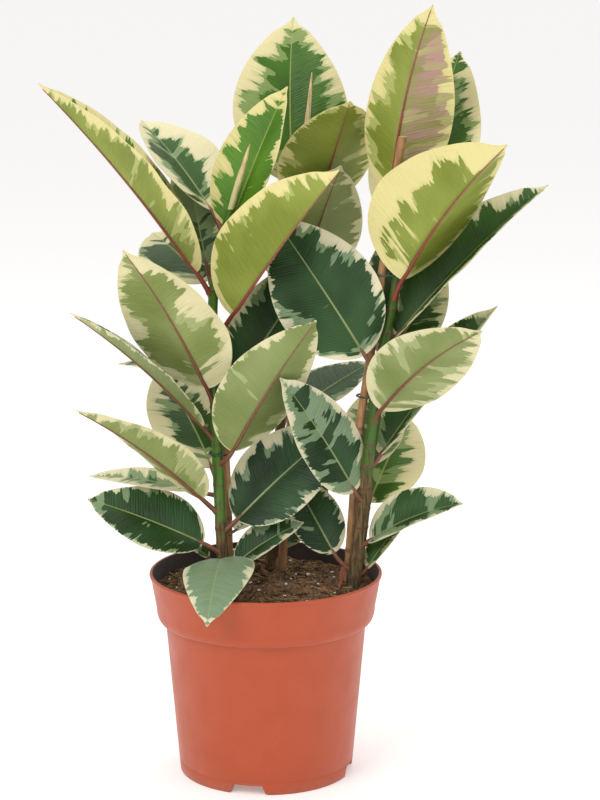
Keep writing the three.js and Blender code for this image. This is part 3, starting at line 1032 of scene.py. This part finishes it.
# ---- stems, canes and ties -----------------------------------------------------------------
@dataclass
class Rod:
    """A stem or a cane: a round bar along a line, with swellings at its rings. Millimetres.

    Foot and top are radii, rings the heights of the leaf scars or the cane's nodes, and ring_high
    and ring_long how far each one swells out and along. Bark reaches bark_top on a stem. Wobble is
    a share of the radius, and bumps a height.
    """

    path: Sequence[Sequence[float]]
    foot: float
    top: float
    rings: Sequence[float]
    ring_high: float
    ring_long: float
    bark_top: float = 0.0
    # painted shade: share of darker green drawn into a stem's skin for the shade it stands in
    shade: float = 0.0
    sides: int = 24
    pitch: float = 1.6
    wobble: float = 0.025
    bumps: float = 0.12

    @functools.cached_property
    def line(self) -> Line:
        """Centre line."""
        return Line(self.path)

    def radius(self, z: float) -> float:
        """Plain radius at a height."""
        return mix(self.foot, self.top, self.line.fraction(z))

    def body(self, bm: BMesh) -> list[BMVert]:
        """Adds the rod, with the data its finish reads.

        Args:
            bm: mesh to add to.

        Returns:
            The new vertices.
        """
        layer = bm.verts.layers.float_vector.new("stem")
        low, high = self.path[0][2], self.path[-1][2]
        rows = int((high - low) / self.pitch)

        @functools.lru_cache(maxsize=None)
        def station(t: float) -> tuple[Vector, float, float]:
            """Centre, radius and distance to the nearest ring.

            Args:
                t: share along the rod.

            Returns:
                The three of them, in millimetres.
            """
            centre = self.line.point(t)
            near = min((abs(centre.z - ring) for ring in self.rings), default=99.0)
            swell = self.ring_high * math.exp(-((near / self.ring_long) ** 2))
            radius = mix(self.foot, self.top, t)
            wobble = 1 + self.wobble * noise.noise(Vector((centre.z / 19, self.foot, 0)))
            return centre, radius * wobble + swell, near

        def place(angle: float, t: float, vert: BMVert) -> Vector:
            """Point of the skin.

            Args:
                angle: angle round the rod.
                t: share along it.
                vert: the vertex.

            Returns:
                Its place.
            """
            centre, radius, near = station(round(t, 6))
            bumpy = self.bumps * noise.noise(Vector((math.cos(angle) * 2, math.sin(angle) * 2, centre.z / 7)))
            vert[layer] = Vector((centre.z - self.bark_top, near, self.shade))
            out = radius + bumpy
            return centre + Vector((out * math.cos(angle), out * math.sin(angle), 0))

        return sleeve(bm, self.sides, rows, place)


# each stem's shade is painted shade, drawn darker on the stems that stand in shade
STEMS: dict[Limb, Rod] = {
    Limb.LEFT: Rod(
        path=(
            (-37, 10, 150), (-42, 10, 257), (-45, 10, 345), (-47, 10, 400), (-45, 10, 445), (-38, 10, 482),
            (-30, 10, 512),
        ),
        foot=5.4, top=3.9, ring_high=0.5, ring_long=1.3, bark_top=232, shade=0.15,
        rings=(176, 190, 206, 222, 240, 262, 281, 300, 318, 334, 356, 391, 412, 440, 466, 489),
    ),
    Limb.RIGHT: Rod(
        path=(
            (76, 0, 150), (87, 0, 236), (92, 0, 290), (98, 0, 330), (105, 0, 390), (113, 0, 430),
            (120, 2, 482),
        ),
        foot=6.8, top=3.9, ring_high=0.55, ring_long=1.3, bark_top=284, shade=0.6,
        rings=(180, 196, 208, 226, 243, 262, 281, 303, 322, 344, 362, 386, 404, 425, 448),
    ),
    Limb.BACK: Rod(
        path=((3, 52, 150), (6, 62, 224), (13, 74, 305), (22, 80, 398), (31, 76, 510)),
        foot=5.2, top=3.9, ring_high=0.5, ring_long=1.3, bark_top=330, shade=0.7,
        rings=(182, 214, 252, 304, 350, 398, 450, 496),
    ),
}

CANES: dict[Limb, Rod] = {
    Limb.LEFT: Rod(
        path=((-32, 24, 140), (-35, 23, 263), (-37, 22, 310), (-39, 23, 356)),
        foot=3.2, top=3.2, ring_high=0.5, ring_long=1.4, rings=(228,),
    ),
    Limb.RIGHT: Rod(
        path=(
            (72, 16, 140), (78, 11, 234), (82, 9, 292), (86, 8, 330), (92, 6, 370), (103, 1, 455),
            (117, -10, 560), (120, -11, 578),
        ),
        foot=3.8, top=3.8, ring_high=0.6, ring_long=1.5, rings=(201, 315, 436, 540),
    ),
    Limb.BACK: Rod(
        path=((13, 40, 140), (17, 50, 227), (24, 63, 330), (28, 67, 385)),
        foot=4.0, top=4.0, ring_high=0.5, ring_long=1.4, rings=(262,),
    ),
}


@dataclass
class Cuttings:
    """The stems, the canes beside them and the wire ties that hold each pair. Millimetres."""

    stems: dict[Limb, Rod]
    canes: dict[Limb, Rod]
    wire: float = 1.0
    ties: tuple[tuple[str, Limb, float], ...] = (
        ("tie_left", Limb.LEFT, 291),
        ("tie_right_low", Limb.RIGHT, 345),
        ("tie_right_high", Limb.RIGHT, 455),
    )

    def build_stems(self) -> None:
        """Builds and dresses the stems."""
        skin = StemSkin().material()
        for limb, rod in self.stems.items():
            bm = bmesh.new()
            rod.body(bm)
            finish_piece(bm, f"stem_{limb.value}_skin", f"stem_{limb.value}", Slot.BARK, [skin], 60)

    def build_canes(self) -> None:
        """Builds and dresses the canes; each sawn top has a pith hole."""
        rind, cut = BambooCane().material(), Scrap("sawn_bamboo", "#E2B08A", "#B98560", 0.9).material()
        for limb, rod in self.canes.items():
            bm = bmesh.new()
            rod.body(bm)
            bm.normal_update()
            top = max(bm.faces, key=lambda f: f.calc_center_median().z)
            top.material_index = 1
            bmesh.ops.inset_individual(bm, faces=[top], thickness=rod.top * 0.62)
            bmesh.ops.translate(bm, vec=(0, 0, -1.5), verts=top.verts)
            finish_piece(bm, f"cane_{limb.value}_rod", f"cane_{limb.value}", Slot.CANE, [rind, cut], 50)

    def build_ties(self) -> None:
        """Bends a loop of wire round each pair and twists its two ends together."""
        coat = CoatedWire().material()
        for name, limb, height in self.ties:
            stem, cane = self.stems[limb], self.canes[limb]
            a, b = stem.line.at_height(height), cane.line.at_height(height)
            apart = Vector((b.x - a.x, b.y - a.y, 0))
            facing = math.atan2(apart.y, apart.x)
            gap = self.wire + 0.3
            long = apart.length / 2 + stem.radius(height) + gap + 0.2
            short = math.sqrt(stem.radius(height) * long) + gap
            middle = (a + b) / 2
            bm = bmesh.new()

            def ring(angle: float, t: float, vert: BMVert) -> Vector:
                """Point of the loop, which dips a little on one side.

                Args:
                    angle: angle round the wire.
                    t: share round the loop.
                    vert: the vertex; not used.

                Returns:
                    Its place.
                """
                turn = t * math.tau
                out = Vector((math.cos(turn), math.sin(turn), 0)) * self.wire * 0.8 * math.cos(angle)
                flat = Vector((math.cos(turn) * long, math.sin(turn) * short, 0)) + out
                x = flat.x * math.cos(facing) - flat.y * math.sin(facing)
                y = flat.x * math.sin(facing) + flat.y * math.cos(facing)
                lift = self.wire * 0.9 * math.sin(angle) + 0.25 * math.sin(turn)
                return Vector((middle.x + x, middle.y + y, height + lift))

            sleeve(bm, 8, 64, ring)
            bmesh.ops.remove_doubles(bm, verts=bm.verts, dist=0.02)
            knot = middle + Vector((0, -1, 0)) * (short - 0.2)
            for start in (0.0, math.pi):

                def strand(angle: float, t: float, vert: BMVert) -> Vector:
                    """Point of one strand of the twisted end.

                    Args:
                        angle: angle round the wire.
                        t: share along the strand.
                        vert: the vertex; not used.

                    Returns:
                        Its place.
                    """
                    twist = start + t * 5 * math.pi
                    spread = self.wire * (0.45 + 1.6 * max(0.0, t - 0.75))
                    centre = knot + Vector((-1.0 * t, -3.2 * t, 1.4 * t)) * 1.5
                    centre += Vector((math.cos(twist), 0.3, math.sin(twist))) * spread
                    return centre + Vector((math.cos(angle), 0, math.sin(angle))) * self.wire * 0.42

                sleeve(bm, 6, 24, strand)
            finish_piece(bm, f"{name}_wire", name, Slot.TIE, [coat], 60)


# ---- leaves --------------------------------------------------------------------------------
@dataclass(frozen=True)
class Look:
    """Variegation of one leaf.

    Age runs from 0, young, to 1, old. Right and left are the cream margin's widths in millimetres
    on the two sides of the midrib, as seen along it from the stem.
    """

    age: float
    right: float
    left: float
    patchy: float
    blush: float = 0.0


@dataclass(frozen=True)
class Blade:
    """Shape that all the leaves share, in millimetres.

    Ripple and swell are shares of the half width: how far the edge waves and each half bellies.
    Soften rounds the fold at the midrib, the blade thins within some distance of its edge, and the
    drip tip slims over a span of its length.
    """

    thick: float = 0.8
    foot: float = 2.6
    point: float = 0.7
    toward_foot: float = 0.65
    toward_tip: float = 0.92
    row_crowding: float = 0.6
    columns: int = 26
    rows: int = 60
    soften: float = 0.04
    thin_within: float = 8.0
    drip_slim: float = 0.45
    drip_span: tuple[float, float] = (0.9, 0.985)
    round_over: float = 0.25
    ripple: float = 0.07
    ripple_long: float = 34.0
    swell: float = 0.03
    groove_deep: float = 0.5
    groove_wide: float = 2.2
    stalk: float = 2.6
    neck: float = 0.78
    stalk_sides: int = 12
    stalk_rows: int = 44

    def outline(self, u: float) -> float:
        """Half width at a share u from foot to tip, 1 at its widest.

        Args:
            u: share along the blade.

        Returns:
            The half width, as a share of the widest.
        """
        a, b = self.toward_foot, self.toward_tip
        peak = a / (a + b)
        return (u**a * (1 - u) ** b) / (peak**a * (1 - peak) ** b)


@dataclass(frozen=True)
class Leaf:
    """One leaf, from the stem's centre line to its tip. Millimetres and degrees.

    Turn is the heading and rise the angle above level, each at the stem, at the blade's foot and at
    its tip. Roll tips the blade about its midrib at foot and tip, fold lifts both halves, and curl
    adds to the fold towards the edge.
    """

    at: float
    petiole: float
    turn: tuple[float, float, float]
    rise: tuple[float, float, float]
    roll: tuple[float, float]
    fold: float
    curl: float
    long: float
    wide: float
    look: Look

    def along_stalk(self, values: tuple[float, float, float], s: float) -> float:
        """Value at a distance s from the stem of a property given at three points.

        Args:
            values: value at the stem, at the blade's foot and at its tip.
            s: distance from the stem.

        Returns:
            The value there.
        """
        if s < self.petiole:
            return mix(values[0], values[1], s / self.petiole)
        return mix(values[1], values[2], min(1.0, (s - self.petiole) / self.long))

    def aim(self, s: float) -> tuple[Vector, float]:
        """Direction of the midrib at a distance s, and its heading in radians.

        Args:
            s: distance from the stem.

        Returns:
            A unit vector and the heading.
        """
        turn = math.radians(self.along_stalk(self.turn, s))
        rise = math.radians(self.along_stalk(self.rise, s))
        return heading(turn, rise), turn

    def midrib(self, start: Vector, s: float) -> tuple[Vector, Vector, Vector, Vector]:
        """Place and axes on the midrib.

        Args:
            start: point of the stem's centre line that the leaf springs from.
            s: distance from it.

        Returns:
            The point, and unit vectors along the midrib, to its left and out of the upper face.
        """
        point, done = start.copy(), 0.0
        while done < s:
            stride = min(2.0, s - done)
            point += self.aim(done + stride / 2)[0] * stride
            done += stride
        along, turn = self.aim(s)
        level = Vector((-math.sin(turn), math.cos(turn), 0))
        above = along.cross(level)
        u = min(1.0, max(0.0, (s - self.petiole) / self.long))
        roll = math.radians(mix(self.roll[0], self.roll[1], u))
        side = level * math.cos(roll) + above * math.sin(roll)
        return point, along, side, along.cross(side)


LEAVES: dict[Limb, list[Leaf]] = {
    Limb.LEFT: [
        Leaf(184, 18, (150, 160, 165), (25, 35, 25), (-20, -20), 20, 0, 50, 18, Look(0.8, 3, 3, 0.3)),
        Leaf(190, 22, (-90, -90, -100), (15, 25, -50), (8, 0), 5, -25, 130, 64, Look(1, 3.5, 3.5, 1.35)),
        Leaf(183, 15, (-40, -15, 10), (10, 45, 20), (35, 30), 15, 10, 74, 44, Look(0.95, 3, 3, 0.3)),
        Leaf(197, 22, (-150, -182, -190), (40, 26, 14), (-40, -40), 12, 0, 112, 68, Look(0.95, 2.5, 2.5, 0.1)),
        Leaf(214, 16, (0, 50, 60), (20, 15, 5), (0, 0), 10, 0, 42, 22, Look(0.9, 3, 3, 0.3)),
        Leaf(217, 20, (-25, 12, 18), (40, 45, 35), (50, 50), 10, 0, 130, 80, Look(1, 3, 8, 0.1)),
        Leaf(234, 25, (-155, -150, -150), (42, 45, 30), (30, 10), 20, 0, 156, 66, Look(0.8, 6, 6, 0.2)),
        Leaf(262, 18, (125, 122, 124), (50, 48, 28), (-10, -10), 10, 0, 120, 84, Look(0.7, 22, 22, 0.4)),
        Leaf(281, 24, (-50, -30, -28), (20, 60, 52), (-36, -36), 15, 0, 152, 84, Look(0.95, 4, 7, 0.1)),
        Leaf(252, 27, (150, 160, 160), (0, 10, -5), (-10, -10), 10, 0, 104, 44, Look(0.8, 10, 10, 0.6)),
        Leaf(300, 22, (-155, -168, -170), (53, 50, 35), (2, 2), 22, 0, 158, 54, Look(0.85, 5, 5, 0.2)),
        Leaf(330, 26, (-10, 20, 22), (40, 58, 48), (45, 50), 12, 0, 150, 76, Look(0.9, 4, 5, 0)),
        Leaf(334, 21, (-135, -138, -143), (60, 62, 50), (22, 25), 10, -20, 160, 98, Look(0.8, 7, 20, 0.15)),
        Leaf(352, 28, (110, 145, 152), (25, 8, -8), (-5, -5), 8, 0, 88, 46, Look(0.9, 4, 4, 0.3)),
        Leaf(391, 36, (-40, -32, -30), (50, 54, 48), (-10, -10), 62, 0, 174, 106, Look(0.15, 7, 9, 0)),
        Leaf(430, 22, (120, 125, 128), (45, 32, 15), (-15, -15), 10, 0, 90, 84, Look(0.7, 18, 14, 0.1)),
        Leaf(431, 30, (-155, -170, -173), (62, 56, 46), (-3, -3), 38, 0, 216, 92, Look(0.2, 9, 9, 0.1)),
        Leaf(440, 24, (135, 110, 102), (60, 56, 46), (0, 0), 20, 0, 124, 54, Look(0.8, 8, 8, 0.8)),
        Leaf(465, 30, (15, 14, 12), (70, 70, 64), (35, 35), 20, 0, 136, 72, Look(0.1, 8, 8, 0)),
        Leaf(489, 28, (120, 130, 133), (48, 42, 30), (0, 0), 22, 0, 124, 86, Look(0.75, 16, 16, 0.4)),
    ],
    Limb.RIGHT: [
        Leaf(178, 16, (-5, 0, 0), (20, 58, 46), (30, 30), 25, 0, 92, 34, Look(0.7, 3, 3, 0.1)),
        Leaf(184, 26, (180, 145, 132), (22, 55, 48), (-35, -35), 10, 0, 84, 50, Look(1, 3, 3, 0)),
        Leaf(205, 16, (-35, -28, -28), (40, 38, 14), (35, 35), 25, 0, 102, 60, Look(0.9, 4, 4, 0.4)),
        Leaf(238, 16, (60, 65, 65), (20, 38, 30), (20, 20), 10, 0, 110, 72, Look(0.5, 12, 12, 0.4)),
        Leaf(248, 17, (-120, -166, -160), (35, 62, 52), (-65, -62), 8, 0, 128, 68, Look(1, 4, 4, 0.45)),
        Leaf(268, 18, (75, 80, 80), (37, 44, 34), (0, 0), 10, 0, 95, 60, Look(0.7, 8, 8, 0.2)),
        Leaf(276, 21, (24, 20, 18), (43, 54, 44), (20, 20), 35, 0, 170, 66, Look(0.8, 4, 4, 0.3)),
        Leaf(322, 18, (-70, -52, -45), (52, 45, 26), (-40, -40), 10, 0, 152, 78, Look(0.95, 5, 7, 0.1)),
        Leaf(361, 18, (50, 42, 42), (40, 53, 45), (20, 20), 10, 0, 105, 66, Look(0.7, 12, 8, 0.2)),
        Leaf(364, 27, (-112, -192, -208), (42, 58, 50), (-76, -66), 8, 0, 146, 96, Look(0.95, 5, 5, 0.1)),
        Leaf(384, 20, (17, 11, 8), (52, 50, 38), (25, 25), 36, 0, 190, 80, Look(0.75, 5, 6, 0)),
        Leaf(392, 20, (70, 72, 68), (47, 60, 52), (0, 0), 10, 0, 112, 56, Look(0.7, 8, 8, 0.1)),
        Leaf(425, 30, (-60, -40, -32), (70, 58, 42), (-30, -28), 33, 0, 164, 126, Look(0.15, 30, 7, 0)),
        Leaf(470, 24, (52, 54, 54), (50, 66, 58), (0, 0), 10, 0, 176, 112, Look(0.5, 13, 13, 0.25)),
        Leaf(478, 47, (-35, -30, -30), (118, 86, 68), (-85, -85), 24, 0, 173, 91, Look(0.15, 8, 6, 0.35, 1)),
    ],
    Limb.BACK: [
        Leaf(176, 12, (-160, -155, -150), (15, 25, 5), (0, 0), 10, 0, 40, 36, Look(1, 2, 2, 0)),
        Leaf(182, 15, (-15, 20, 50), (33, 55, 50), (20, 20), 10, 0, 80, 46, Look(0.9, 2, 2, 0)),
        Leaf(304, 16, (40, 35, 33), (34, 28, 18), (10, 10), 10, 0, 100, 66, Look(0.8, 3, 3, 0.1)),
        Leaf(398, 33, (-53, -45, -43), (60, 72, 62), (-20, -20), 10, 0, 130, 104, Look(0.8, 7, 7, 0)),
        Leaf(470, 35, (2, -48, -72), (45, 69, 51), (-5, -5), 10, 0, 124, 99, Look(0.1, 9, 9, 0)),
        Leaf(503, 28, (125, 105, 75), (40, 78, 70), (0, 0), 12, 0, 152, 108, Look(0.45, 10, 12, 0.55)),
    ],
}


@dataclass
class Foliage:
    """All the leaves, each a blade of two faces on its stalk and midrib, and the rolled new ones."""

    cuttings: Cuttings
    shape: Blade = Blade()

    def half_width(self, leaf: Leaf, u: float) -> float:
        """Half width of a blade at a share u, with its short drip tip.

        Args:
            leaf: the leaf.
            u: share along the blade.

        Returns:
            Half width in millimetres.
        """
        shape = self.shape
        half = mix(shape.foot, shape.point, u) + (leaf.wide / 2 - shape.foot) * shape.outline(u)
        return half * (1 - shape.drip_slim * smooth(*shape.drip_span, u)) + shape.round_over

    def blade(self, bm: BMesh, leaf: Leaf, start: Vector, seed: int, layers: Sequence) -> None:
        """Adds a blade: upper face and edge take material 0, the underside material 1.

        Args:
            bm: mesh to add to.
            leaf: the leaf.
            start: where it springs from the stem.
            seed: number that its pattern and waves follow.
            layers: vertex data for blade, kind, trim and thickness direction.
        """
        shape, look = self.shape, leaf.look
        to_blade, to_kind, to_trim, to_out = layers

        @functools.lru_cache(maxsize=None)
        def station(y: float) -> Station:
            """Share along, half width and midrib frame of one row."""
            u = y - math.sin(math.tau * y) * shape.row_crowding / math.tau
            return (u, self.half_width(leaf, u), *leaf.midrib(start, leaf.petiole + u * leaf.long))

        def place(x: float, y: float, vert: BMVert) -> Vector:
            """Point of the blade, with the data its finish reads.

            Args:
                x: share across the blade.
                y: share of its rows.
                vert: the vertex.

            Returns:
                Its place.
            """
            u, half, point, along, side, up = station(round(y, 6))
            cross = 2 * x - 1
            share = math.hypot(cross, shape.soften) - shape.soften
            lift = math.radians(leaf.fold + leaf.curl * share / 2)
            facing = math.radians(leaf.fold + leaf.curl * share) * max(-1.0, min(1.0, cross * 12))
            half_leaf = 1.0 if cross > 0 else 6.0
            wave = noise.noise(Vector((u * leaf.long / shape.ripple_long, seed * 3.7, half_leaf)))
            ripple = shape.ripple * half * share**2 * wave
            ripple += shape.swell * half * math.sin(math.pi * min(1.0, share))
            out = (up * math.cos(facing) - side * math.sin(facing)).normalized()
            distance = cross * half
            edge = min(half * (1 - abs(cross)), (1 - u) * leaf.long * 0.8, u * leaf.long * 1.2 + 0.6)
            margin = mix(look.right, look.left, smooth(-2.0, 2.0, distance))
            vert[to_blade] = Vector((distance, u * leaf.long, edge))
            vert[to_kind] = Vector((seed, look.age, look.blush))
            vert[to_trim] = Vector((margin, look.patchy, u))
            vert[to_out] = out * shape.thick * (0.5 + 0.5 * min(1.0, edge / shape.thin_within))
            groove = shape.groove_deep * max(0.0, 1 - abs(distance) / shape.groove_wide) * (1 - u)
            height = share * half * math.sin(lift) + ripple - groove
            return point + side * distance * math.cos(lift) + up * height

        made = sheet(bm, shape.columns, shape.rows, place)
        under = list({f for v in made for f in v.link_faces})
        inner = list({e for f in under for e in f.edges})
        raised = bmesh.ops.extrude_face_region(bm, geom=under + inner + made, use_keep_orig=True)["geom"]
        for vert in raised:
            if isinstance(vert, BMVert):
                vert.co += vert[to_out] / 2
        for vert in made:
            vert.co -= vert[to_out] / 2
        for face in under:
            face.material_index = 1

    def stalk(self, bm: BMesh, leaf: Leaf, start: Vector, girth: float, seed: int, layers: Sequence) -> None:
        """Adds the petiole and the midrib that runs on under the blade; they take material 2.

        Args:
            bm: mesh to add to.
            leaf: the leaf.
            start: where it springs from the stem.
            girth: radius of the stem there.
            seed: number that its pattern follows.
            layers: vertex data for blade, kind, trim and thickness direction.
        """
        shape = self.shape
        slim = min(1.0, 0.4 + leaf.wide / 100)
        first = girth * 0.7 / max(0.35, math.cos(math.radians(leaf.rise[0])))
        last = leaf.petiole + leaf.long * 0.97

        @functools.lru_cache(maxsize=None)
        def station(y: float) -> Station:
            """Share along the blade, radius and midrib frame of one row.

            Args:
                y: share of the rows.

            Returns:
                The values of that row.
            """
            s = mix(first, last, y)
            u = max(0.0, (s - leaf.petiole) / leaf.long)
            thick = shape.stalk * mix(1.0, shape.neck, s / leaf.petiole)
            if u > 0:
                thick = mix(shape.stalk * shape.neck, 0.3, u**0.55)
            thick *= slim * (1 + 0.28 * (1 - smooth(first, first + 4, s)))
            return (u, thick, *leaf.midrib(start, s))

        def place(angle: float, y: float, vert: BMVert) -> Vector:
            """Point of the stalk.

            Args:
                angle: angle round the stalk.
                y: share of its rows.
                vert: the vertex.

            Returns:
                Its place.
            """
            u, thick, point, along, side, up = station(round(y, 6))
            sink = (thick * 0.62 + 0.5) * smooth(0.0, 0.06, u)
            vert[layers[0]] = Vector((0, u * leaf.long, 9))
            vert[layers[1]] = Vector((seed, leaf.look.age, 0))
            vert[layers[2]] = Vector((0, 0, u))
            return point + side * thick * math.cos(angle) + up * (thick * math.sin(angle) - sink)

        paint(sleeve(bm, shape.stalk_sides, shape.stalk_rows, place), 2)

    def build_leaves(self) -> None:
        """Builds and dresses every leaf."""
        looks = [
            LeafFace(
                "leaf_upper_cuticle",
                green=("#3F6C0A", "#132B10"), light=("#5A8A1C", "#2A4C28"), patch=("#93A548", "#7C9270"),
                cream=("#DED08A", "#E0D8B6"), rib=("#A9AE5A", "#94A068"), gloss=0.36,
            ).material(),
            LeafFace(
                "leaf_underside",
                green=("#747F1C", "#7C8A4E"), light=("#8F9A3C", "#909C64"), patch=("#ADB264", "#A8B07C"),
                cream=("#DFD28C", "#DFD8AE"), rib=("#A6A052", "#9EA26C"), gloss=0.54,
            ).material(),
            LeafStalk().material(),
        ]
        for limb, leaves in LEAVES.items():
            rod = self.cuttings.stems[limb]
            for number, leaf in enumerate(leaves, 1):
                name = f"leaf_{limb.value}_{number:02d}"
                seed = number + 31 * list(Limb).index(limb)
                start = rod.line.at_height(leaf.at)
                bm = bmesh.new()
                layers = [bm.verts.layers.float_vector.new(n) for n in ("blade", "kind", "trim", "out")]
                self.blade(bm, leaf, start, seed, layers)
                self.stalk(bm, leaf, start, rod.radius(leaf.at), seed, layers)
                bm.verts.layers.float_vector.remove(layers[3])
                finish_piece(bm, f"{name}_blade", name, Slot.LEAF, looks, 70)

    def build_spears(self) -> None:
        """Builds the two new leaves still rolled in their sheaths."""
        skin = LeafSheath().material()
        for limb, turn, rise, long in ((Limb.LEFT, -25.0, 72.0, 62.0), (Limb.BACK, 30.0, 84.0, 118.0)):
            base = self.cuttings.stems[limb].line.point(1)
            a, b = math.radians(turn), math.radians(rise)
            along = heading(a, b)
            side = Vector((-math.sin(a), math.cos(a), 0))
            up = along.cross(side)
            bm = bmesh.new()
            layer = bm.verts.layers.float_vector.new("stem")

            def place(angle: float, t: float, vert: BMVert) -> Vector:
                """Point of the sheath, whose rolled edge winds round it.

                Args:
                    angle: angle round the sheath.
                    t: share along it.
                    vert: the vertex.

                Returns:
                    Its place.
                """
                vert[layer] = Vector((t, 0, 0))
                lap = 0.22 * smooth(0.0, 0.5, ((angle / math.tau + t * 1.2) % 1.0)) * math.sin(math.pi * t)
                thick = 3.0 * math.sqrt(max(0.02, 1 - t**2)) * (0.9 + lap)
                around = (side * math.cos(angle) + up * math.sin(angle)) * thick
                return base + along * (t * long - 1.0) + around

            sleeve(bm, 24, 48, place)
            finish_piece(bm, f"spear_{limb.value}_sheath", f"spear_{limb.value}", Slot.SHEATH, [skin], 50)


# ---- the place it stands in ----------------------------------------------------------------
@dataclass
class Studio:
    """White sweep, soft light and camera. Millimetres from the pot's axis, and degrees."""

    camera: tuple[float, float, float] = (30.9, -2200.0, 802.4)
    pitch: float = 11.81
    lens: float = 113.58
    sensor: float = 36.0
    look_at: tuple[float, float, float] = (0.0, 0.0, 350.0)
    room_light: float = 0.72
    floor: float = 40000.0

    def build_floor(self) -> None:
        """Lays the floor."""
        bm = bmesh.new()
        bmesh.ops.create_grid(bm, x_segments=8, y_segments=8, size=self.floor / 2 * MM)
        mesh = bpy.data.meshes.new("floor_sweep")
        bm.to_mesh(mesh)
        bm.free()
        mesh.materials.append(PaperSweep().material())
        floor = bpy.data.objects.new("floor_sweep", mesh)
        bpy.context.scene.collection.objects.link(floor)

    def build_light(self) -> None:
        """Hangs the softboxes and lights the room."""
        for name, place, power, size in (
            ("key_softbox", (-1300, -1500, 1900), 26.0, 1.5),
            ("fill_softbox", (1700, -1300, 1100), 9.0, 1.8),
            ("top_softbox", (100, 700, 2200), 12.0, 1.4),
        ):
            data = bpy.data.lights.new(name, "AREA")
            data.energy, data.size = power, size
            lamp = bpy.data.objects.new(name, data)
            lamp.location = pot_axis() + Vector(place) * MM
            aim = pot_axis() + Vector(self.look_at) * MM - lamp.location
            lamp.rotation_euler = aim.to_track_quat("-Z", "Y").to_euler()
            bpy.context.scene.collection.objects.link(lamp)
        world = bpy.data.worlds.new("white_room")
        world.use_nodes = True
        walls = world.node_tree.nodes["Background"].inputs
        walls["Color"].default_value = linear("#FFFFFF")
        walls["Strength"].default_value = self.room_light
        bpy.context.scene.world = world

    def build_camera(self) -> None:
        """Sets the camera up at the viewing angle."""
        data = bpy.data.cameras.new("camera")
        data.lens, data.sensor_width = self.lens, self.sensor
        data.clip_end = 100.0
        camera = bpy.data.objects.new("camera", data)
        camera.location = pot_axis() + Vector(self.camera) * MM
        camera.rotation_euler = (math.radians(90 - self.pitch), 0, 0)
        bpy.context.scene.collection.objects.link(camera)
        bpy.context.scene.camera = camera
        bpy.context.scene.view_settings.view_transform = "Standard"


def main() -> None:
    """Builds the pot, the soil, the cuttings and the foliage, and sets the scene."""
    studio = Studio()
    studio.build_camera()
    studio.build_light()
    studio.build_floor()
    pot = NurseryPot()
    pot.build()
    PottingSoil(pot).build()
    cuttings = Cuttings(STEMS, CANES)
    cuttings.build_stems()
    cuttings.build_canes()
    cuttings.build_ties()
    foliage = Foliage(cuttings)
    foliage.build_leaves()
    foliage.build_spears()


if __name__ == "__main__":
    logging.basicConfig(level=logging.INFO, format="%(name)s: %(message)s")
    main()
